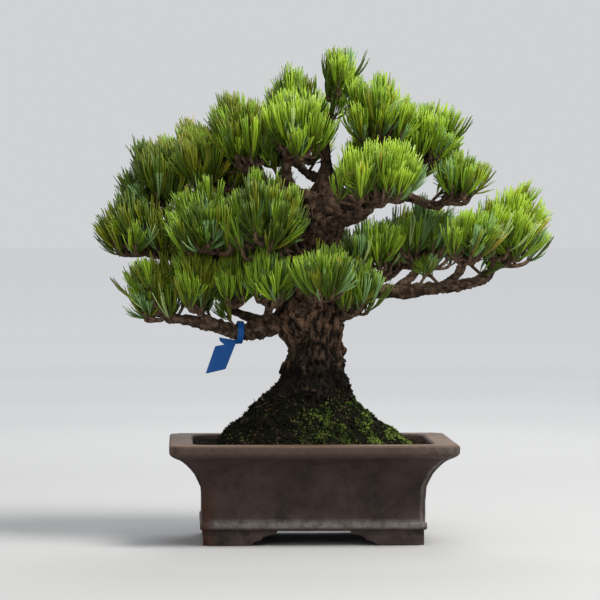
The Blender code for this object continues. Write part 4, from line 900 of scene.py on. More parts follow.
@dataclass
class Trunk:
    """The trunk, from its flared foot up to the needles at the apex, with plated bark."""

    sides: int = 150
    rings: int = 370
    depth_share: float = 0.86
    flare_top: float = 98.0
    root_count: int = 5
    root_swell: float = 0.13
    wave: float = 0.04
    lump: float = 1.7
    knob: float = 1.0
    plate: float = 3.9
    plate_depth: float = 2.3
    ridge: float = 4.2
    ridge_stretch: float = 0.3
    collar: float = 3.0
    collar_size: float = 10.0
    slim_from: float = 184.0
    slim_to: float = 206.0
    slim_share: float = 0.6

    @property
    def foot(self) -> float:
        """Height of the flat cut under the trunk."""
        return TRUNK_STATIONS[0][0]

    def station(self, height: float) -> tuple[float, float, float]:
        """Place in plan and radius at a height.

        Args:
            height: millimetres above the table.

        Returns:
            X, Y and radius.
        """
        for low, high in zip(TRUNK_STATIONS, TRUNK_STATIONS[1:]):
            if height <= high[0]:
                break
        index = TRUNK_STATIONS.index(low)
        share = (index + (height - low[0]) / (high[0] - low[0])) / (len(TRUNK_STATIONS) - 1)
        _, x, y, radius = through(TRUNK_STATIONS, share)
        return x, y, radius

    def limb(self) -> Limb:
        """The trunk's axis as a limb."""
        heights = np.linspace(self.foot, TRUNK_STATIONS[-1][0], 90)
        stations = [self.station(height) for height in heights]
        path = np.array([(x, y, z) for z, (x, y, _) in zip(heights, stations)])
        return Limb(path, np.array([radius for *_, radius in stations]))

    def collars(self, points: np.ndarray, limbs: dict[str, Limb]) -> np.ndarray:
        """How far the wood swells where a bough leaves the trunk.

        Args:
            points: points of the trunk's plain surface.
            limbs: every limb.

        Returns:
            The swelling at each point.
        """
        swell = np.zeros(len(points))
        for bough in BOUGHS:
            if bough.parent != "trunk":
                continue
            limb = limbs[bough.name]
            outside = [k for k, point in enumerate(limb.path)
                       if math.hypot(point[0] - limb.path[0][0], point[1] - limb.path[0][1])
                       > self.station(bough.place)[2]]
            where = limb.path[outside[0]] if outside else limb.path[-1]
            size = self.collar_size * (bough.root / 5.0) ** 0.5
            away = np.linalg.norm(points - where, axis=1)
            swell += self.collar * (bough.root / 5.0) * np.exp(-(away / size) ** 2)
        return swell

    def build(self, layout: Layout, limbs: dict[str, Limb]) -> bpy.types.Object:
        """Make the trunk.

        Args:
            layout: where it stands.
            limbs: every limb, for the swellings at their feet.

        Returns:
            The trunk's piece.
        """
        top = TRUNK_STATIONS[-1][0]
        heights = [self.foot + (top - self.foot) * (k / (self.rings - 1)) ** 1.1 for k in range(self.rings)]
        angles = np.arange(self.sides) * math.tau / self.sides
        base, out, path = [], [], []
        for height in heights:
            x, y, radius = self.station(height)
            slim = min(1.0, max(0.0, (height - self.slim_from) / (self.slim_to - self.slim_from)))
            radius *= 1.0 - (1.0 - self.slim_share) * slim
            flare = max(0.0, (self.flare_top - height) / (self.flare_top - self.foot))
            depth = 1.0 - (1.0 - self.depth_share) * flare
            swell = 1.0 + self.root_swell * flare * np.cos(self.root_count * angles + 0.6)
            swell += self.wave * np.cos(3.0 * angles + height / 11.0)
            base.append(np.stack([x + radius * swell * np.cos(angles),
                                  y + depth * radius * swell * np.sin(angles),
                                  np.full(self.sides, height)], axis=1))
            out.append(np.stack([np.cos(angles), np.sin(angles), np.zeros(self.sides)], axis=1))
            path.append((x, y, height))
        points = np.concatenate(base)
        outward = np.concatenate(out)
        radius_at = np.repeat([self.station(height)[2] for height in heights], self.sides)
        size = np.clip(radius_at / 14.0, 0.22, 1.0)
        lumps = roughness(points, 16.0, 2) * self.lump + roughness(points, 5.0, 2) * self.knob
        edges, numbers = plates(points + roughness(points, 5.0, 2)[:, None] * 1.4, self.plate, 2.5)
        grain = roughness(points * (1.0, 1.0, 0.5), 1.9, 3)
        ridges = 1.0 - 2.2 * np.abs(roughness(points * (1.0, 1.0, self.ridge_stretch), self.ridge, 2))
        relief = np.clip(0.42 * edges + 0.25 * numbers + 0.35 * grain + 0.25 * ridges, 0.0, 1.0)
        shift = size * (lumps + self.plate_depth * (relief - 0.5) + 0.45 * grain)
        shift += self.collars(points, limbs)
        for x, y, z, width, rise in BURLS:
            away = np.linalg.norm(points - (x, y, z), axis=1)
            shift += rise * np.exp(-(away / width) ** 2)
        points = waisted(points + outward * shift[:, None])
        points[:self.sides, 2] = self.foot
        pile = MeshPile()
        add_tube(pile, np.array(path), points, self.sides, relief)
        return show(pile.mesh("trunk_bark", layout), "trunk_bark", OLD_BARK.material(), 60.0,
                    ("trunk",))


@dataclass
class Boughs:
    """Every bough, with scaly bark, knots and a swollen foot."""

    step: float = 1.1
    sides: int = 20
    wander: float = 0.8
    knot: float = 0.16
    foot_swell: float = 0.45
    foot_length: float = 7.0
    knee_length: float = 6.0
    entry_share: float = 0.45
    entry_rise: float = 1.5
    taper: float = 0.9

    def end(self, pad: Pad, last: tuple) -> tuple:
        """Where a bough enters its pad: under the dome, on the side that it comes from.

        Args:
            pad: the mass that the bough carries.
            last: the bough's last bend.

        Returns:
            The bough's tip.
        """
        away_x, away_y = last[0] - pad.x, last[1] - pad.y
        reach = max(math.hypot(away_x / pad.half_x, away_y / pad.half_y), self.entry_share)
        share = self.entry_share / reach
        return pad.x + away_x * share, pad.y + away_y * share, pad.base + self.entry_rise

    def grow(self, trunk: Trunk) -> dict[str, Limb]:
        """Every bough's fine path.

        Args:
            trunk: what the main boughs leave.

        Returns:
            The limbs by name, the trunk among them.
        """
        limbs = {"trunk": trunk.limb()}
        pads = {pad.limb: pad for pad in PADS}
        for seed, bough in enumerate(BOUGHS):
            if bough.parent == "trunk":
                x, y, _ = trunk.station(bough.place)
                start = (x, y, bough.place)
            else:
                start = tuple(limbs[bough.parent].at(bough.place)[0])
            points = (start, *bough.bends, self.end(pads[bough.name], bough.bends[-1]))
            length = sum(math.dist(a, b) for a, b in zip(points, points[1:]))
            steps = max(8, round(length / self.step))
            shares = np.arange(steps + 1) / steps
            path = np.array([through(points, share) for share in shares])
            fade = np.sin(np.pi * shares)[:, None]
            shift = np.array([[noise.noise(Vector(point / 9.0) + Vector((seed, 31.7 * axis, 0.0)))
                               for axis in range(3)] for point in path])
            path += shift * fade * self.wander
            radii = bough.tip + (bough.root - bough.tip) * (1.0 - shares) ** self.taper
            limbs[bough.name] = Limb(path, radii)
        return limbs

    def build(self, layout: Layout, limbs: dict[str, Limb]) -> bpy.types.Object:
        """Make every bough, as one piece.

        Args:
            layout: where the tree stands.
            limbs: the fine paths.

        Returns:
            The boughs' piece.
        """
        pile = MeshPile()
        for seed, bough in enumerate(BOUGHS):
            limb = limbs[bough.name]
            along = np.arange(len(limb.path)) * self.step
            knots = np.array([noise.noise(Vector((s / 5.0, seed * 3.7, 0.0))) for s in along])
            swell = 1.0 + self.knot * knots + self.foot_swell * np.exp(-along / self.foot_length)
            knee, rise = KNEES.get(bough.name, (0.0, 0.0))
            swell += rise * np.exp(-((along - knee * along[-1]) / self.knee_length) ** 2)
            swell[-4:] *= (0.97, 0.88, 0.68, 0.35)
            points = tube(limb.path, limb.radii * swell, self.sides)
            centre = np.repeat(limb.path, self.sides, axis=0)
            outward = unit(points - centre)
            size = np.repeat(np.clip(limb.radii / 5.0, 0.3, 1.0), self.sides)
            edges, numbers = plates(points + roughness(points, 3.0, 2)[:, None] * 0.8, 3.0, 1.0)
            grain = roughness(points, 1.6, 3)
            relief = np.clip(0.5 * edges + 0.35 * numbers + 0.4 * grain, 0.0, 1.0)
            points = points + outward * (size * (1.3 * (relief - 0.5) + 0.6 * grain))[:, None]
            add_tube(pile, limb.path, points, self.sides, relief)
        return show(pile.mesh("bough_bark", layout), "bough_bark", BOUGH_BARK.material(), 60.0,
                    tuple(bough.name for bough in BOUGHS))


@dataclass
class Tuft:
    """One brush of needles: its foot, its axis, its needles' length and its pad's colouring."""

    foot: np.ndarray
    axis: np.ndarray
    length: float
    tone: Tone
    bundles: int
    spread: float
    seed: int


class BundleTree(NodeTree):
    """Geometry Nodes that set a needle bundle on every point and turn it to the point's own aim."""

    def __init__(self) -> None:
        """Build the tree with its named inputs."""
        super().__init__(bpy.data.node_groups.new("needle_bundles", "GeometryNodeTree"))
        face = self.tree.interface
        face.new_socket("Geometry", in_out="INPUT", socket_type="NodeSocketGeometry")
        face.new_socket("Bundles", in_out="INPUT", socket_type="NodeSocketCollection")
        face.new_socket("Finish", in_out="INPUT", socket_type="NodeSocketMaterial")
        face.new_socket("Geometry", in_out="OUTPUT", socket_type="NodeSocketGeometry")
        source = self.add("NodeGroupInput").outputs
        kinds = self.add("GeometryNodeCollectionInfo", {"Collection": source["Bundles"],
                                                        "Separate Children": True, "Reset Children": True})
        aim = self.add("GeometryNodeInputNamedAttribute", {"Name": "aim"}, data_type="FLOAT_VECTOR")
        reach = self.add("GeometryNodeInputNamedAttribute", {"Name": "reach"}, data_type="FLOAT")
        kind = self.add("GeometryNodeInputNamedAttribute", {"Name": "kind"}, data_type="INT")
        turn = self.add("FunctionNodeEulerToRotation", {0: aim.outputs[0]})
        placed = self.add("GeometryNodeInstanceOnPoints", {
            "Points": source["Geometry"], "Instance": kinds.outputs[0], "Pick Instance": True,
            "Instance Index": kind.outputs[0], "Rotation": turn.outputs[0], "Scale": reach.outputs[0]})
        real = self.add("GeometryNodeRealizeInstances", {"Geometry": placed.outputs[0]})
        done = self.add("GeometryNodeSetMaterial", {"Geometry": real.outputs[0],
                                                    "Material": source["Finish"]})
        self.add("NodeGroupOutput", {"Geometry": done.outputs[0]})


class ScatterTree(NodeTree):
    """Geometry Nodes that strew the members of a collection over a surface and press them into it."""

    def __init__(self) -> None:
        """Build the tree with its named inputs."""
        super().__init__(bpy.data.node_groups.new("strewn_bits", "GeometryNodeTree"))
        face = self.tree.interface
        face.new_socket("Geometry", in_out="INPUT", socket_type="NodeSocketGeometry")
        for name, kind in (("Bits", "Collection"), ("Finish", "Material"), ("Spacing", "Float"),
                           ("Density", "Float"), ("Smallest", "Float"), ("Largest", "Float"),
                           ("Lean", "Float"), ("Seed", "Int")):
            face.new_socket(name, in_out="INPUT", socket_type="NodeSocket" + kind)
        face.new_socket("Geometry", in_out="OUTPUT", socket_type="NodeSocketGeometry")
        source = self.add("NodeGroupInput").outputs
        cover = self.add("GeometryNodeInputNamedAttribute", {"Name": "cover"}, data_type="FLOAT")
        points = self.add("GeometryNodeDistributePointsOnFaces", {
            "Mesh": source["Geometry"], "Distance Min": source["Spacing"], "Density Max": source["Density"],
            "Density Factor": cover.outputs[0], "Seed": source["Seed"]}, distribute_method="POISSON")
        kinds = self.add("GeometryNodeCollectionInfo", {"Collection": source["Bits"],
                                                        "Separate Children": True, "Reset Children": True})
        tilt = self.add("ShaderNodeCombineXYZ", {0: source["Lean"], 1: source["Lean"], 2: math.pi})
        back = self.add("ShaderNodeVectorMath", {0: tilt.outputs[0], 1: (-1.0, -1.0, -1.0)},
                        operation="MULTIPLY")
        spin = self.add("FunctionNodeRandomValue", {0: back.outputs[0], 1: tilt.outputs[0],
                                                    "Seed": source["Seed"]}, data_type="FLOAT_VECTOR")
        size = self.add("FunctionNodeRandomValue", {2: source["Smallest"], 3: source["Largest"],
                                                    "Seed": source["Seed"]}, data_type="FLOAT")
        turn = self.add("FunctionNodeEulerToRotation", {0: spin.outputs[0]})
        turned = self.add("FunctionNodeRotateRotation", {0: points.outputs["Rotation"], 1: turn.outputs[0]},
                          rotation_space="LOCAL")
        pick = self.add("FunctionNodeRandomValue", {"Seed": source["Seed"]}, data_type="INT")
        pick.inputs[4].default_value = 0
        pick.inputs[5].default_value = 99
        placed = self.add("GeometryNodeInstanceOnPoints", {
            "Points": points.outputs["Points"], "Instance": kinds.outputs[0], "Pick Instance": True,
            "Instance Index": pick.outputs[2], "Rotation": turned.outputs[0], "Scale": size.outputs[1]})
        real = self.add("GeometryNodeRealizeInstances", {"Geometry": placed.outputs[0]})
        done = self.add("GeometryNodeSetMaterial", {"Geometry": real.outputs[0],
                                                    "Material": source["Finish"]})
        self.add("NodeGroupOutput", {"Geometry": done.outputs[0]})


def run_tree(tree: NodeTree, base: bpy.types.Mesh, sizes: dict) -> bpy.types.Mesh:
    """Run Geometry Nodes on a mesh.

    Args:
        tree: the node tree.
        base: the mesh that it starts from.
        sizes: the tree's inputs by name.

    Returns:
        The resulting plain mesh.
    """
    carrier = bpy.data.objects.new("carrier", base)
    bpy.context.scene.collection.objects.link(carrier)
    modifier = carrier.modifiers.new("nodes", "NODES")
    modifier.node_group = tree.tree
    for item in tree.tree.interface.items_tree:
        if item.in_out == "INPUT" and item.name in sizes:
            modifier[item.identifier] = sizes[item.name]
    graph = bpy.context.evaluated_depsgraph_get()
    mesh = bpy.data.meshes.new_from_object(carrier.evaluated_get(graph), depsgraph=graph)
    carrier.modifiers.remove(modifier)
    bpy.data.objects.remove(carrier, do_unlink=True)
    return mesh


def kit(name: str, meshes: list[bpy.types.Mesh]) -> bpy.types.Collection:
    """A collection of small shapes for Geometry Nodes to pick from, kept out of the scene.

    Args:
        name: the collection's name.
        meshes: the shapes, in metres about their own origin.

    Returns:
        The collection.
    """
    collection = bpy.data.collections.new(name)
    for number, mesh in enumerate(meshes):
        collection.objects.link(bpy.data.objects.new(f"{name}_{number}", mesh))
    return collection


def small_mesh(name: str, pile: MeshPile) -> bpy.types.Mesh:
    """A mesh about its own origin, for a kit, with its faces turned outwards."""
    mesh = bpy.data.meshes.new(name)
    points = np.concatenate(pile.points) * MM
    mesh.from_pydata(points.tolist(), [], [row.tolist() for block in pile.faces for row in block])
    bm = bmesh.new()
    bm.from_mesh(mesh)
    bmesh.ops.recalc_face_normals(bm, faces=bm.faces)
    for face in bm.faces:
        face.smooth = True
    bm.to_mesh(mesh)
    bm.free()
    return mesh


@dataclass
class NeedleBundle:
    """Five blunt needles from one sheath, a little apart and bowed the same way."""

    length: float = 25.0
    radius: float = 0.57
    needles: int = 5
    splay: float = 5.6
    sway: float = 0.07
    bows: tuple = (0.03, 0.20, 0.40)
    variants: int = 4
    levels: tuple = ((0.0, 0.6), (0.32, 1.0), (0.72, 1.0), (1.0, 0.5))

    @property
    def triangles(self) -> int:
        """Triangles in one bundle."""
        return self.needles * (6 * (len(self.levels) - 1) + 2)

    def shape(self, bow: float, seed: int) -> bpy.types.Mesh:
        """One variant.

        Args:
            bow: how far the tips lie off a straight line, as a share of the length.
            seed: what the needles' places and lengths are drawn from.

        Returns:
            A mesh that stands on its origin along Z and bows towards X.
        """
        rng = random.Random(seed)
        pile = MeshPile()
        corners = np.arange(3) * math.tau / 3.0
        for number in range(self.needles):
            azimuth = math.tau * (number + rng.uniform(-0.3, 0.3)) / self.needles
            lean = math.radians(self.splay) * rng.uniform(0.4, 1.3)
            length = self.length * rng.uniform(0.82, 1.05)
            bend = bow * rng.uniform(0.75, 1.25)
            sway = self.sway * rng.uniform(-1.0, 1.0)
            heading = np.array((math.sin(lean) * math.cos(azimuth), math.sin(lean) * math.sin(azimuth),
                                math.cos(lean)))
            turn = rng.uniform(0.0, math.tau)
            ring = np.stack([np.cos(corners + turn), np.sin(corners + turn), np.zeros(3)], axis=1)
            rows = [heading * length * level + np.array((bend, sway, 0.0)) * length * level ** 2
                    + ring * self.radius * share for level, share in self.levels]
            last = 3 * (len(rows) - 1)
            pile.add(np.concatenate(rows), ring_faces(len(rows), 3), np.array([[2, 1, 0]]),
                     np.array([[last, last + 1, last + 2]]))
        return small_mesh(f"bundle_{seed:02d}", pile)

    def kit(self) -> bpy.types.Collection:
        """All variants, the straightest first."""
        return kit("needle_bundle_kit", [self.shape(bow, self.variants * row + k)
                                         for row, bow in enumerate(self.bows) for k in range(self.variants)])


@dataclass
class Foliage:
    """The pads: twigs that fork on from the boughs to brushes of needle bundles on each pad's dome."""

    spacing: float = 9.3
    length: float = 23.5
    inset: float = 3.0
    most_lean: float = 22.0
    outward: float = 16.0
    edge_height: float = 0.50
    rises: tuple = (0.60, 1.06)
    lengths: tuple = (0.80, 1.10)
    lowest_tip: float = 15.0
    sag: float = 1.0
    spreads: tuple = (0.75, 1.15)
    jitter: float = 3.0
    bundles: int = 9
    # short dark bundles at each tuft's base, as painted shade
    base_bundles: int = 3
    base_length: float = 0.6
    base_spreads: tuple = (14.0, 48.0)
    skirt_share: float = 0.34
    skirt_bundles: int = 8
    whorl: float = 8.5
    inner_spread: float = 3.0
    outer_spread: float = 47.0
    bow_steps: tuple = (12.0, 28.0)
    uplift: float = 0.6
    own_tint: float = 0.78
    spur_spacing: float = 13.0
    spur_bundles: int = 10
    start_share: float = 0.58
    start_drop: float = 13.0
    twig: float = 0.85
    twig_growth: float = 0.42
    most_twig: float = 2.0
    twig_sides: int = 6
    tufts: list[Tuft] = field(default_factory=list)
    twigs: MeshPile = field(default_factory=MeshPile)

    def dome_tufts(self, pad: Pad, seed: int) -> list[Tuft]:
        """Tufts spread over the pad's dome by a golden-angle spiral, upright in the middle.

        Args:
            pad: the mass.
            seed: what the small differences are drawn from.

        Returns:
            The pad's tufts.
        """
        rng = random.Random(seed)
        half_x, half_y = pad.half_x - self.inset, pad.half_y - self.inset
        area = math.pi * half_x * half_y * (1.0 + 0.6 * pad.height / (half_x + half_y))
        count = max(6, round(area / self.spacing ** 2))
        start = rng.uniform(0.0, math.tau)
        away = math.hypot(pad.x, pad.y)
        outward = np.array((pad.x, pad.y, 0.0)) / max(away, 1.0) * math.radians(self.outward) * away / 100.0
        tufts = []
        for k in range(count):
            rho = ((k + 0.35) / (count - 0.3)) ** 0.5
            angle = start + k * TURN + rng.uniform(-0.25, 0.25)
            rise = self.edge_height + (1.0 - self.edge_height) * math.sqrt(max(0.0, 1.0 - rho * rho))
            rise *= rng.uniform(*self.rises)
            shift = np.array((rng.uniform(-1.0, 1.0), rng.uniform(-1.0, 1.0), 0.0)) * self.jitter
            tip = pad.underside + shift + np.array((half_x * rho * math.cos(angle),
                                                    half_y * rho * math.sin(angle),
                                                    max(self.lowest_tip, pad.height * rise)))
            lean = math.radians(self.most_lean) * rho ** 1.3 * rng.uniform(0.7, 1.2)
            axis = np.array((math.sin(lean) * math.cos(angle), math.sin(lean) * math.sin(angle),
                             math.cos(lean))) + outward
            axis += np.array((rng.uniform(-0.14, 0.14), rng.uniform(-0.14, 0.14), 0.0))
            axis = axis / np.linalg.norm(axis)
            length = min(self.length * rng.uniform(*self.lengths),
                         (tip[2] - pad.base + self.sag) / axis[2])
            tufts.append(Tuft(tip - axis * length, axis, length, pad.tone, self.bundles,
                              rng.uniform(*self.spreads), rng.randrange(10 ** 6)))
        for k in range(round(self.skirt_share * count)):
            # every third skirt tuft takes the cool tone, as painted cool shade on the pads' lower rims
            tone = Tone.COOL if k % 3 == 1 else pad.tone
            tufts.append(self.skirt_tuft(pad, half_x, half_y, k * TURN + start, tone, rng))
        return tufts

    def skirt_tuft(self, pad: Pad, half_x: float, half_y: float, angle: float, tone: Tone,
                   rng: random.Random) -> Tuft:
        """A low tuft at a pad's rim that leans well out and breaks the dome's outline.

        Args:
            pad: the mass.
            half_x: how far the tufts reach to the side.
            half_y: how far they reach to the back.
            angle: the direction in which the tuft leans.
            tone: its colours.
            rng: what its place is drawn from.

        Returns:
            The tuft.
        """
        rho = rng.uniform(0.72, 1.0)
        tip = pad.underside + np.array((half_x * rho * math.cos(angle), half_y * rho * math.sin(angle),
                                        10.0 + pad.height * rng.uniform(0.05, 0.25)))
        lean = math.radians(rng.uniform(34.0, 62.0))
        axis = np.array((math.sin(lean) * math.cos(angle), math.sin(lean) * math.sin(angle), math.cos(lean)))
        length = min(self.length * rng.uniform(0.66, 0.9), (tip[2] - pad.base + self.sag) / axis[2])
        return Tuft(tip - axis * length, axis, length, tone, self.skirt_bundles,
                    rng.uniform(*self.spreads), rng.randrange(10 ** 6))

    def spurs(self, limb: Limb, first: float, seed: int) -> list[Tuft]:
        """Short shaded tufts straight on a limb, which fill the crown's inside.

        Args:
            limb: what they grow on.
            first: the share of its length where they begin.
            seed: what their places are drawn from.

        Returns:
            The tufts, each on a short twig of its own.
        """
        rng = random.Random(seed)
        steps = np.linalg.norm(np.diff(limb.path, axis=0), axis=1)
        count = int(steps.sum() * (0.97 - first) / self.spur_spacing)
        tufts = []
        for k in range(count):
            share = first + (0.97 - first) * (k + rng.uniform(0.2, 0.8)) / count
            root, radius = limb.at(share)
            angle = rng.uniform(0.0, math.tau)
            axis = unit(np.array((0.75 * math.cos(angle), 0.75 * math.sin(angle), rng.uniform(0.6, 1.1))))
            foot = root + axis * (radius + rng.uniform(2.0, 6.0))
            self.add_twig([(root, 0.9), (foot, self.twig), (foot + axis * 5.0, self.twig)])
            tufts.append(Tuft(foot, axis, self.length * rng.uniform(0.6, 0.78), Tone.SHADED,
                              self.spur_bundles, 1.0, rng.randrange(10 ** 6)))
        return tufts

    def radius(self, tufts: int) -> float:
        """Radius of a twig by the number of tufts that it carries."""
        return min(self.twig * tufts ** self.twig_growth, self.most_twig)

    def branch(self, path: list, tufts: list[Tuft], rng: random.Random) -> None:
        """Grow a twig on to a group of tufts, which parts in two at every fork.

        Args:
            path: points and radii of the twig so far.
            tufts: the tufts that it has to reach.
            rng: what the forks' places are drawn from.
        """
        start = path[-1][0]
        if len(tufts) == 1:
            tuft = tufts[0]
            back = tuft.foot - tuft.axis * 5.0
            if np.dot(tuft.foot - start, tuft.axis) > 6.0:
                path = [*path, (back, self.twig)]
            self.add_twig([*path, (tuft.foot, self.twig * 1.25),
                           (tuft.foot + tuft.axis * self.whorl, self.twig * 0.9)])
            return
        for number, group in enumerate(self.halves(tufts)):
            own = path if number == 0 else [(start, 0.8 * self.radius(len(group)))]
            if len(group) > 1:
                heart = sum(tuft.foot for tuft in group) / len(group)
                jitter = np.array([rng.uniform(-2.0, 2.0), rng.uniform(-2.0, 2.0), -1.5])
                fork = start + (heart - start) * rng.uniform(0.45, 0.65) + jitter
                own = [*own, (fork, self.radius(len(group)))]
            self.branch(own, group, rng)

    def add_twig(self, path: list) -> None:
        """Add a twig that bends smoothly through its points, with small knots.

        Args:
            path: points and radii.
        """
        rows = [(*point, radius) for point, radius in path]
        length = sum(math.dist(a[:3], b[:3]) for a, b in zip(rows, rows[1:]))
        steps = max(4, round(length / 2.6))
        fine = np.array([through(rows, k / steps) for k in range(steps + 1)])
        spine, radii = fine[:, :3], np.maximum(fine[:, 3], 0.45)
        knots = np.array([noise.noise(Vector(point / 2.3)) for point in spine])
        radii = radii * (1.0 + 0.28 * knots)
        radii[0] *= 1.15
        add_tube(self.twigs, spine, tube(spine, radii, self.twig_sides), self.twig_sides)

    def bundle_points(self, tuft: Tuft) -> list[tuple]:
        """Where a tuft's bundles sit, how they are turned, how long they are and their colour.

        Args:
            tuft: the tuft.

        Returns:
            Rows of place, Euler turn, scale, kind of bow and tint.
        """
        rng = random.Random(tuft.seed)
        start = rng.uniform(0.0, math.tau)
        inner, outer = tuft.tone.value
        own = rng.choices(list(Tint)[:5], weights=inner[:5])[0]
        rows = []
        for k in range(tuft.bundles):
            share = (k + 0.5) / tuft.bundles
            degrees = self.inner_spread + (self.outer_spread - self.inner_spread) * share ** 1.3
            degrees = max(1.0, degrees * tuft.spread + rng.uniform(-6.0, 6.0))
            along = self.whorl * (1.0 - share)
            length = (tuft.length - 0.8 * along) * rng.uniform(0.84, 1.08)
            placed = self.bundle(tuft, start + k * TURN, degrees, along, length, rng)
            # outer, lower bundles take the outer shares, richer in dark green: partly older needles, partly
            # painted shade
            if share > 0.7 or rng.random() > self.own_tint:
                tint = rng.choices(list(Tint), weights=outer if share > 0.6 else inner)[0]
            else:
                tint = own
            rows.append((*placed, tint))
        # painted shade: short dark bundles at each tuft's base darken its heart, except in shaded tufts
        for k in range(0 if tuft.tone is Tone.SHADED else self.base_bundles):
            degrees = rng.uniform(*self.base_spreads)
            length = tuft.length * self.base_length * rng.uniform(0.8, 1.15)
            placed = self.bundle(tuft, start + (k + 0.5) * math.tau / self.base_bundles, degrees,
                                 rng.uniform(-1.5, 1.5), length, rng)
            rows.append((*placed, Tint.SEA if rng.random() < 0.2 else Tint.DEEP))
        return rows

    def bundle(self, tuft: Tuft, azimuth: float, degrees: float, along: float, length: float,
               rng: random.Random) -> tuple:
        """Where one bundle of a tuft sits, how it is turned, how long it is and how it bows.

        Args:
            tuft: the tuft.
            azimuth: its direction round the tuft's axis.
            degrees: how far it leans away from the axis.
            along: how far up the shoot it grows.
            length: its length.
            rng: what its variant is drawn from.

        Returns:
            Its place, Euler turn, scale and kind of bow.
        """
        axis = Vector(tuft.axis)
        across = axis.orthogonal().normalized()
        up = axis.cross(across)
        spread = math.radians(degrees)
        out = across * math.cos(azimuth) + up * math.sin(azimuth)
        heading = axis * math.cos(spread) + out * math.sin(spread)
        place = Vector(tuft.foot) + axis * along + out * self.twig
        bow = axis + Vector((0.0, 0.0, self.uplift))
        bow = (bow - heading * heading.dot(bow)).normalized()
        turn = Matrix((bow, heading.cross(bow), heading)).transposed().to_euler()
        step = sum(degrees > limit for limit in self.bow_steps)
        kind = NeedleBundle.variants * step + rng.randrange(NeedleBundle.variants)
        return tuple(place), tuple(turn), length / NeedleBundle.length, kind

    def build(self, layout: Layout, limbs: dict[str, Limb], trunk: Trunk) -> None:
        """Make the twigs and the needles.

        Args:
            layout: where the tree stands.
            limbs: what the pads grow from.
            trunk: not used.
        """
        for number, pad in enumerate(PADS):
            tufts = self.dome_tufts(pad, number)
            rng = random.Random(number)
            starts = self.starts(pad, limbs)
            groups = [tufts]
            while len(groups) < 8 and len(groups) < len(starts) and len(groups[0]) > 3:
                groups = [half for group in groups for half in self.halves(group)]
            for group in groups:
                heart = sum(tuft.foot for tuft in group) / len(group)
                away = np.linalg.norm(starts[:, :3] - heart + (0.0, 0.0, self.start_drop), axis=1)
                nearest = int(np.argmin(away))
                start = starts[nearest, :3]
                radius = min(starts[nearest, 3], self.radius(len(group)))
                fork = start + (heart - start) * rng.uniform(0.35, 0.5) - (0.0, 0.0, 1.5)
                self.branch([(start, radius), (fork, self.radius(len(group)))], group, rng)
            self.tufts += tufts
        for number, (name, limb) in enumerate(sorted(limbs.items())):
            self.tufts += self.spurs(limb, 0.7 if name == "trunk" else 0.42, 500 + number)
        show(self.twigs.mesh("twigs", layout), "twigs", TWIG_BARK.material(), 60.0)
        self.build_needles(layout)

    def starts(self, pad: Pad, limbs: dict[str, Limb]) -> np.ndarray:
        """Where the twigs of a pad may leave its limb.

        Args:
            pad: the mass.
            limbs: every limb.

        Returns:
            Rows of place and radius along the limb's outer part, or its tip alone.
        """
        limb = limbs.get(pad.limb, limbs["trunk"])
        rows = np.column_stack([limb.path, limb.radii])
        if pad.limb == "trunk_tip":
            return rows[-1:]
        if pad.limb == "trunk":
            near = (rows[:, 2] > pad.base - 40.0) & (rows[:, 2] < pad.base - 8.0)
            return rows[near]
        return rows[int(self.start_share * len(rows)):-3:3]

    @staticmethod
    def halves(tufts: list[Tuft]) -> tuple[list[Tuft], list[Tuft]]:
        """Two halves of a group of tufts, parted across its longest side."""
        feet = np.array([tuft.foot for tuft in tufts])
        axis = int(np.argmax(feet.max(axis=0) - feet.min(axis=0)))
        ranked = sorted(tufts, key=lambda tuft: tuft.foot[axis])
        middle = len(ranked) // 2
        return ranked[middle:], ranked[:middle]

    def build_needles(self, layout: Layout) -> None:
        """Make the needles, one piece for each tint.

        Args:
            layout: where the tree stands.
        """
        dealt: dict[Tint, list[tuple]] = {tint: [] for tint in Tint}
        for tuft in self.tufts:
            for *row, tint in self.bundle_points(tuft):
                dealt[tint].append(row)
        tree = BundleTree()
        bundle = NeedleBundle()
        bundles = bundle.kit()
        each = MOST_TRIANGLES // bundle.triangles
        masses = [pad.name for pad in PADS]
        for tint, rows in dealt.items():
            material = NeedleFinish(tint).material()
            for part, first in enumerate(range(0, len(rows), each)):
                places, turns, sizes, kinds = zip(*rows[first:first + each])
                base = bpy.data.meshes.new("bundle_points")
                base.from_pydata(layout.metres(np.array(places)).tolist(), [], [])
                for name, kind, field_name, values in (("aim", "FLOAT_VECTOR", "vector", turns),
                                                       ("reach", "FLOAT", "value", sizes),
                                                       ("kind", "INT", "value", kinds)):
                    layer = base.attributes.new(name, kind, "POINT")
                    layer.data.foreach_set(field_name, np.array(values).ravel())
                mesh = run_tree(tree, base, {"Bundles": bundles, "Finish": material})
                name = f"needles_{tint.name.lower()}_{part + 1}"
                show(mesh, name, material, None, tuple(masses))
                masses = []


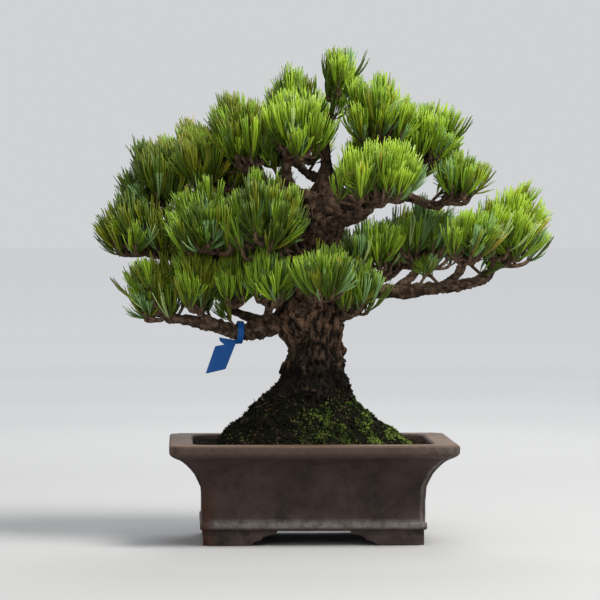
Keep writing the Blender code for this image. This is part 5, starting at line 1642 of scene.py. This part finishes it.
@dataclass
class Mound:
    """The soil in the pot and the mossy mound over the roots, with what lies on them."""

    foot: float = 52.35
    half_x: float = 54.0
    half_y: float = 42.0
    edge: float = 0.9
    slope: float = 54.0
    inner_share: float = 0.3
    rows: int = 64
    columns: int = 220
    soil_level: float = 52.0
    soil_half_x: float = 64.6
    soil_half_y: float = 44.6
    soil_corner: float = 8.0

    def point(self, rho: float, angle: float) -> tuple[float, float, float]:
        """A point of the mound's plain cone."""
        wave = 0.035 * math.cos(3.0 * angle + 1.0)
        x = self.half_x * rho * (1.0 + rho * wave) * math.cos(angle)
        y = self.half_y * rho * (1.0 + rho * wave) * math.sin(angle)
        return x, y, self.foot + self.edge + self.slope * (1.0 - rho)

    def moss_mesh(self, layout: Layout) -> bpy.types.Mesh:
        """The mound's crumbly surface."""
        shares = 1.0 - (1.0 - self.inner_share) * np.linspace(0.0, 1.0, self.rows)
        angles = np.arange(self.columns) * math.tau / self.columns
        points = np.array([self.point(rho, angle) for rho in shares for angle in angles])
        clumps = roughness(points, 7.0, 3)
        crumbs = roughness(points, 2.2, 2)
        fade = np.repeat(np.clip((1.0 - shares) * 12.0, 0.25, 1.0), self.columns)
        points[:, 2] += fade * (1.3 * clumps + 0.8 * crumbs)
        outward = unit(points * (1.0, 1.0, 0.0))
        points = waisted(points + outward * (fade * (1.2 * clumps + 0.6 * crumbs))[:, None])
        points[:self.columns, 2] = self.foot - 0.6
        relief = np.clip(0.5 + 0.6 * clumps + 0.4 * crumbs, 0.0, 1.0)
        pile = MeshPile()
        path = np.array([(0.0, 0.0, self.foot), (0.0, 0.0, self.foot + self.slope)])
        rings = self.rows
        sides = self.columns
        pile.add(np.concatenate([points, path]), ring_faces(rings, sides),
                 cap_faces(rings * sides, 0, sides, False),
                 cap_faces(rings * sides + 1, (rings - 1) * sides, sides, True),
                 relief=np.concatenate([relief, [0.5, 0.5]]))
        return pile.mesh("moss_bed", layout)

    def soil_mesh(self, layout: Layout) -> bpy.types.Mesh:
        """The soil's uneven top with a skirt that goes down inside the pot."""
        columns, rows = 110, 76
        pile = MeshPile()
        xs = np.linspace(-1.0, 1.0, columns)
        ys = np.linspace(-1.0, 1.0, rows)
        grid = np.array([(x, y) for y in ys for x in xs])
        points = np.stack([grid[:, 0] * self.soil_half_x, grid[:, 1] * self.soil_half_y,
                           np.full(len(grid), self.soil_level)], axis=1)
        points = self.round_corners(points)
        points[:, 2] += 0.7 * roughness(points, 5.0, 3)
        edge = (np.abs(grid) > 0.999).any(axis=1)
        points[edge, 2] = self.soil_level - 3.0
        i = np.arange(columns - 1)
        j = np.arange(rows - 1)[:, None]
        corner = (j * columns + i).ravel()
        faces = np.stack([corner, corner + 1, corner + columns + 1, corner + columns], axis=1)
        rim = np.concatenate([np.arange(columns), np.arange(2, rows) * columns - 1,
                              np.arange(rows * columns - 1, (rows - 1) * columns - 1, -1),
                              np.arange(rows - 2, 0, -1) * columns])
        under = np.full(len(rim), len(points))
        points = np.vstack([points, (0.0, 0.0, self.soil_level - 5.0)])
        pile.add(points, faces, np.stack([under, np.roll(rim, -1), rim], axis=1))
        return pile.mesh("soil_bed", layout)

    def round_corners(self, points: np.ndarray) -> np.ndarray:
        """Pull a grid's corners in to the pot's rounded opening."""
        points = points.copy()
        for row in points:
            over_x = abs(row[0]) - (self.soil_half_x - self.soil_corner)
            over_y = abs(row[1]) - (self.soil_half_y - self.soil_corner)
            if over_x > 0.0 and over_y > 0.0:
                shrink = max(over_x, over_y) / math.hypot(over_x, over_y)
                row[0] = math.copysign(self.soil_half_x - self.soil_corner + over_x * shrink, row[0])
                row[1] = math.copysign(self.soil_half_y - self.soil_corner + over_y * shrink, row[1])
        return points

    @staticmethod
    def covered(mesh: bpy.types.Mesh, layout: Layout, share) -> bpy.types.Mesh:
        """A copy of a mesh that carries, at each point, how thickly bits are strewn there.

        Args:
            mesh: the surface.
            layout: where the tree stands.
            share: a function from a point in millimetres to a share from 0 to 1.

        Returns:
            The copy.
        """
        copy = mesh.copy()
        points = np.zeros(len(copy.vertices) * 3)
        copy.vertices.foreach_get("co", points)
        points = (points.reshape(-1, 3) - layout.middle) / MM
        cover = copy.attributes.new("cover", "FLOAT", "POINT")
        cover.data.foreach_set("value", np.array([share(*point) for point in points], np.float32))
        return copy

    def sprig(self, seed: int) -> bpy.types.Mesh:
        """A star of moss leaves: a few short spikes from one point."""
        rng = random.Random(seed)
        pile = MeshPile()
        corners = np.arange(3) * math.tau / 3.0
        for number in range(5):
            lean = rng.uniform(0.1, 1.1)
            azimuth = math.tau * (number + rng.uniform(-0.3, 0.3)) / 5.0
            heading = Vector((math.sin(lean) * math.cos(azimuth), math.sin(lean) * math.sin(azimuth),
                              math.cos(lean)))
            side = heading.orthogonal().normalized()
            up = heading.cross(side)
            ring = [heading * 0.35 + (side * math.cos(turn) + up * math.sin(turn)) * 0.42 for turn in corners]
            tip = heading * rng.uniform(1.3, 2.0)
            pile.add(np.array([*ring, tip, heading * -0.4]), cap_faces(3, 0, 3, True),
                     cap_faces(4, 0, 3, False))
        return small_mesh(f"sprig_{seed}", pile)

    def grain(self, seed: int, flat: float) -> bpy.types.Mesh:
        """A lump of soil, or a flake where it is flat."""
        rng = random.Random(seed)
        pile = MeshPile()
        ends = np.array([(1, 0, 0), (0, 1, 0), (-1, 0, 0), (0, -1, 0), (0, 0, 1), (0, 0, -1)], float)
        ends *= np.array([[rng.uniform(0.75, 1.25)] for _ in ends]) * (1.0, 1.0, flat)
        pile.add(ends, cap_faces(4, 0, 4, True), cap_faces(5, 0, 4, False))
        return small_mesh(f"grain_{seed}", pile)

    def straw(self, seed: int) -> bpy.types.Mesh:
        """A dry fallen needle or root fibre, bent and lying down."""
        rng = random.Random(seed)
        pile = MeshPile()
        length, rise = rng.uniform(5.0, 10.0), rng.uniform(0.4, 2.6)
        shares = np.linspace(0.0, 1.0, 5)
        path = np.stack([length * (shares - 0.5), rng.uniform(-1.5, 1.5) * np.sin(3.0 * shares),
                         0.3 + rise * shares ** 2], axis=1)
        add_tube(pile, path, tube(path, np.array((0.16, 0.26, 0.27, 0.22, 0.12)), 4), 4)
        return small_mesh(f"straw_{seed}", pile)

    def build(self, layout: Layout, trunk: bpy.types.Object) -> None:
        """Make soil, moss and what is strewn on them.

        Args:
            layout: where the tree stands.
            trunk: the trunk's piece, which carries crumbs and moss as well.
        """
        moss = self.moss_mesh(layout)
        soil = self.soil_mesh(layout)
        show(soil, "soil_bed", EARTH.material(), 60.0, ("soil",))
        show(moss, "moss_bed", MOSS_BED.material(), 60.0, ("moss",))
        tree = ScatterTree()
        sprigs = kit("sprig_kit", [self.sprig(seed) for seed in range(5)])
        lumps = kit("lump_kit", [self.grain(seed, 0.75) for seed in range(5)])
        flakes = kit("flake_kit", [self.grain(seed + 9, 0.32) for seed in range(5)])
        straws = kit("straw_kit", [self.straw(seed) for seed in range(5)])

        def bright(x: float, y: float, z: float) -> float:
            low = min(1.0, max(0.0, (80.0 - z) / 9.0))
            right = min(1.0, max(0.0, (x - y * 0.15 + 12.0) / 22.0))
            patch = noise.noise(Vector((x / 10.0, y / 10.0, z / 10.0)))
            return low * (0.04 + 0.96 * right) * min(1.0, max(0.0, 0.85 + patch * 3.0))

        # partly painted light: the brightest moss lies towards the right end
        def brightest(x: float, y: float, z: float) -> float:
            return bright(x, y, z) * min(1.0, max(0.0, (x - y * 0.15 - 24.0) / 14.0))

        def dim(x: float, y: float, z: float) -> float:
            return min(1.0, max(0.0, (98.0 - z) / 14.0)) * 0.9

        def bare(x: float, y: float, z: float) -> float:
            return dim(x, y, z) * (1.0 - 0.85 * bright(x, y, z))

        def crumbs(x: float, y: float, z: float) -> float:
            return min(1.0, max(0.12, (104.0 - z) / 22.0))

        def sparse(x: float, y: float, z: float) -> float:
            return dim(x, y, z - 8.0) * min(1.0, max(0.2, (x + 14.0) / 30.0))

        strewn = (
            ("moss_green", moss, bright, sprigs, GREEN_MOSS, Slot.MOSS, 0.95, 1400000.0, 0.45, 0.95, 0.5),
            ("moss_bright", moss, brightest, sprigs, BRIGHT_MOSS, Slot.MOSS, 1.2, 1100000.0, 0.55, 1.05, 0.5),
            ("moss_dark", moss, dim, sprigs, DARK_MOSS, Slot.MOSS, 1.3, 600000.0, 0.5, 1.1, 0.7),
            ("mound_crumbs", moss, bare, flakes, CRUMBS, Slot.BARK, 1.6, 400000.0, 0.5, 1.5, 0.9),
            ("trunk_crumbs", trunk.data, crumbs, flakes, DARK_CRUMBS, Slot.BARK, 1.4, 500000.0, 0.45, 1.35, 0.9),
            ("trunk_moss", trunk.data, sparse, sprigs, DULL_MOSS, Slot.MOSS, 1.4, 350000.0, 0.35, 0.8, 0.7),
            ("soil_grit", soil, lambda x, y, z: 1.0, lumps, EARTH, Slot.SOIL, 1.3, 700000.0, 0.6, 1.5, 1.5),
            ("dry_litter", moss, lambda x, y, z: 0.7, flakes, LITTER, Slot.BARK, 8.0, 7000.0, 0.7, 1.9, 0.7),
            ("dry_straws", moss, lambda x, y, z: 1.0 if x < -8.0 else 0.1, straws, STRAW, Slot.BARK, 7.0,
             6000.0, 0.7, 1.1, 0.5),
        )
        for seed, (name, surface, share, bits, finish, slot, spacing, density, small, large,
                   lean) in enumerate(strewn):
            base = self.covered(surface, layout, share)
            material = finish.material()
            mesh = run_tree(tree, base, {"Bits": bits, "Finish": material, "Spacing": spacing * MM,
                                         "Density": density, "Smallest": small, "Largest": large,
                                         "Lean": lean, "Seed": seed})
            show(mesh, name, material)


@dataclass
class Label:
    """A blue plastic label that hangs from a strap round the lower left bough."""

    share: float = 0.49
    strap_width: float = 3.4
    strap_thickness: float = 0.9
    clearance: float = 0.6
    sides: int = 40
    thickness: float = 0.9
    plate: tuple = ((-5.9, -1.8), (5.5, 0.0), (-0.2, -14.4), (-11.2, -16.9))
    tail: tuple = ((-3.8, 3.0), (8.6, 0.9), (8.6, -0.4), (-0.5, -1.4), (-3.4, 1.0))
    offset: float = 7.4
    bend: float = 0.004
    corners: tuple = (0.8, 0.4)

    def build(self, layout: Layout, limbs: dict[str, Limb]) -> None:
        """Make the strap and the plate as one piece.

        Args:
            layout: where the tree stands.
            limbs: the bough that the strap goes round.
        """
        limb = limbs["bough_left_low"]
        middle, radius = limb.at(self.share)
        before, _ = limb.at(self.share - 0.02)
        after, _ = limb.at(self.share + 0.02)
        along = Vector(after - before).normalized()
        inner = radius * 1.07 + self.clearance
        outer = inner + self.strap_thickness
        half = 0.5 * self.strap_width
        soft = 0.25
        section = ((inner, half - soft), (inner, soft - half), (inner + soft, -half), (outer - soft, -half),
                   (outer, soft - half), (outer, half - soft), (outer - soft, half), (inner + soft, half))
        side = along.orthogonal().normalized()
        up = along.cross(side)
        rings = []
        for k in range(self.sides):
            turn = math.tau * k / self.sides
            out = side * math.cos(turn) + up * math.sin(turn)
            rings.append([Vector(middle) + out * size + along * place for size, place in section])
        pile = MeshPile()
        points = np.array([point[:] for ring in rings for point in ring])
        faces = ring_faces(self.sides + 1, len(section)) % len(points)
        pile.add(points, faces)
        top = Vector(middle) - Vector((self.offset, 0.0, inner + 0.4 * self.strap_thickness))
        self.add_slab(pile, top, self.plate, self.corners[0])
        self.add_slab(pile, top, self.tail, self.corners[1])
        mesh = pile.mesh("label_blue", layout)
        bm = bmesh.new()
        bm.from_mesh(mesh)
        bmesh.ops.recalc_face_normals(bm, faces=bm.faces)
        bm.to_mesh(mesh)
        bm.free()
        show(mesh, "label_blue", BLUE_PLASTIC.material(), 40.0, ("label",))

    def add_slab(self, pile: MeshPile, top: Vector, corners: tuple, radius: float) -> None:
        """Add a thin upright slab with rounded corners and soft edges, bent a little towards its end.

        Args:
            pile: what it is added to.
            top: the label's origin under the strap.
            corners: the slab's corners from the label's origin, to the side and up.
            radius: how far its corners are rounded.
        """
        outline = self.outline(corners, radius)
        middle_x, middle_z = np.mean(corners, axis=0)
        rows = []
        for y, inset in ((-0.5, 0.25), (-0.25, 0.0), (0.25, 0.0), (0.5, 0.25)):
            for x, z in outline:
                away = Vector((x - middle_x, 0.0, z - middle_z)).normalized()
                rows.append(top + Vector((x, y * self.thickness - self.bend * z * z, z)) - away * inset)
        for y in (-0.5, 0.5):
            rows.append(top + Vector((middle_x, y * self.thickness - self.bend * middle_z ** 2, middle_z)))
        ring = len(outline)
        pile.add(np.array([row[:] for row in rows]), ring_faces(4, ring),
                 cap_faces(4 * ring, 0, ring, False), cap_faces(4 * ring + 1, 3 * ring, ring, True))

    @staticmethod
    def outline(corners: tuple, radius: float) -> list[tuple[float, float]]:
        """A slab's outline with rounded corners."""
        points = []
        for k, corner in enumerate(corners):
            here = Vector(corner)
            start = here + (Vector(corners[k - 1]) - here).normalized() * radius
            end = here + (Vector(corners[(k + 1) % len(corners)]) - here).normalized() * radius
            for t in (0.0, 0.33, 0.67, 1.0):
                point = start * (1 - t) ** 2 + here * 2 * t * (1 - t) + end * t ** 2
                points.append((point.x, point.y))
        return points


@dataclass
class Studio:
    """The photograph's viewpoint, a pale floor and soft lights."""

    distance: float = 1710.0
    round_angle: float = 2.4
    eye_height: float = 165.0
    pitch: float = 1.11
    yaw: float = 2.2
    focal_pixels: float = 3101.0
    picture: float = 600.0
    sensor: float = 36.0
    floor_half: float = 60000.0
    # painted shade on the floor: its grey at each distance from the tree, darker near it where the lamps' light
    # pools
    floor_shade_ramp: tuple = ((0.5, 0.37), (1.13, 0.44), (1.48, 0.58), (1.94, 0.81), (2.55, 0.91), (4.0, 0.965))
    ramp_end: float = 4.0

    def camera(self, layout: Layout) -> None:
        """Set the camera where the photograph was taken from."""
        round_angle, yaw, pitch = (math.radians(a) for a in (self.round_angle, self.yaw, self.pitch))
        eye = np.array((-self.distance * math.sin(round_angle), -self.distance * math.cos(round_angle),
                        self.eye_height))
        forward = Vector((math.sin(yaw) * math.cos(pitch), math.cos(yaw) * math.cos(pitch), -math.sin(pitch)))
        right = Vector((math.cos(yaw), -math.sin(yaw), 0.0))
        up = right.cross(forward)
        data = bpy.data.cameras.new("camera")
        data.sensor_width = self.sensor
        data.lens = self.focal_pixels / self.picture * self.sensor
        data.clip_end = 200.0
        camera = bpy.data.objects.new("camera", data)
        camera.matrix_world = (Matrix.Translation(Vector(layout.metres(eye)))
                               @ Matrix((right, up, -forward)).transposed().to_4x4())
        bpy.context.scene.collection.objects.link(camera)
        bpy.context.scene.camera = camera

    def floor(self) -> None:
        """A pale floor, painted darker near the tree to cancel the lamps' pool of light, so that it looks
        evenly pale.
        """
        half = self.floor_half * MM
        mesh = bpy.data.meshes.new("floor")
        mesh.from_pydata([(-half, -half, 0.0), (half, -half, 0.0), (half, half, 0.0), (-half, half, 0.0)],
                         [], [(0, 1, 2, 3)])
        shader = Shader("pale_floor")
        reach = shader.add("ShaderNodeVectorMath", {0: shader.place}, operation="LENGTH").outputs["Value"]
        floor_shade_ramp = shader.add("ShaderNodeValToRGB", {"Fac": shader.between(reach, 0.0, self.ramp_end)})
        stops = floor_shade_ramp.color_ramp.elements
        stops[1].position = 1.0
        for _ in self.floor_shade_ramp[2:]:
            stops.new(0.5)
        for stop, (place, shade) in zip(stops, self.floor_shade_ramp):
            stop.position = place / self.ramp_end
            stop.color = (shade, shade, 1.01 * shade, 1.0)
        shader.set(base_color=floor_shade_ramp.outputs["Color"], roughness=1.0, specular_ior_level=0.0)
        mesh.materials.append(shader.material)
        floor = bpy.data.objects.new("floor", mesh)
        bpy.context.scene.collection.objects.link(floor)

    def area(self, name: str, place: tuple, aim: tuple, size: float, power: float, colour: tuple) -> None:
        """One soft light.

        Args:
            name: its name.
            place: where it hangs, in metres.
            aim: the point that it faces.
            size: its width in metres.
            power: its power in watts.
            colour: its colour.
        """
        data = bpy.data.lights.new(name, "AREA")
        data.shape = "DISK"
        data.size = size
        data.energy = power
        data.color = colour
        light = bpy.data.objects.new(name, data)
        light.location = place
        light.visible_camera = False
        light.rotation_euler = (Vector(aim) - Vector(place)).to_track_quat("-Z", "Y").to_euler()
        bpy.context.scene.collection.objects.link(light)

    def lights(self) -> None:
        """A pale room, a large key light above and softer fills."""
        world = bpy.data.worlds.new("pale_room")
        world.use_nodes = True
        background = world.node_tree.nodes["Background"]
        background.inputs["Color"].default_value = (0.630, 0.645, 0.660, 1.0)
        background.inputs["Strength"].default_value = 1.0
        bpy.context.scene.world = world
        self.area("key", (0.65, -0.45, 1.25), (0.0, 0.0, 0.17), 0.7, 29.0, (1.0, 0.98, 0.93))
        self.area("fill", (-0.5, -1.7, 0.8), (0.0, 0.0, 0.15), 1.2, 5.6, (1.0, 0.99, 0.97))
        self.area("back", (0.1, 1.0, 1.1), (0.0, 0.0, 0.18), 0.7, 12.0, (0.98, 0.99, 1.0))
        bpy.context.scene.view_settings.view_transform = "Standard"

    def build(self, layout: Layout) -> None:
        """Set everything up round the tree."""
        self.camera(layout)
        self.floor()
        self.lights()


def main() -> None:
    """Dress the frame and report each piece."""
    logging.basicConfig(level=logging.INFO, format="%(name)s %(message)s")
    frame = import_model()
    layout = Layout("pot")
    Studio().build(layout)
    Pot().build(frame)
    trunk = Trunk()
    boughs = Boughs()
    limbs = boughs.grow(trunk)
    bark = trunk.build(layout, limbs)
    boughs.build(layout, limbs)
    Mound().build(layout, bark)
    Label().build(layout, limbs)
    Foliage().build(layout, limbs, trunk)


if __name__ == "__main__":
    main()
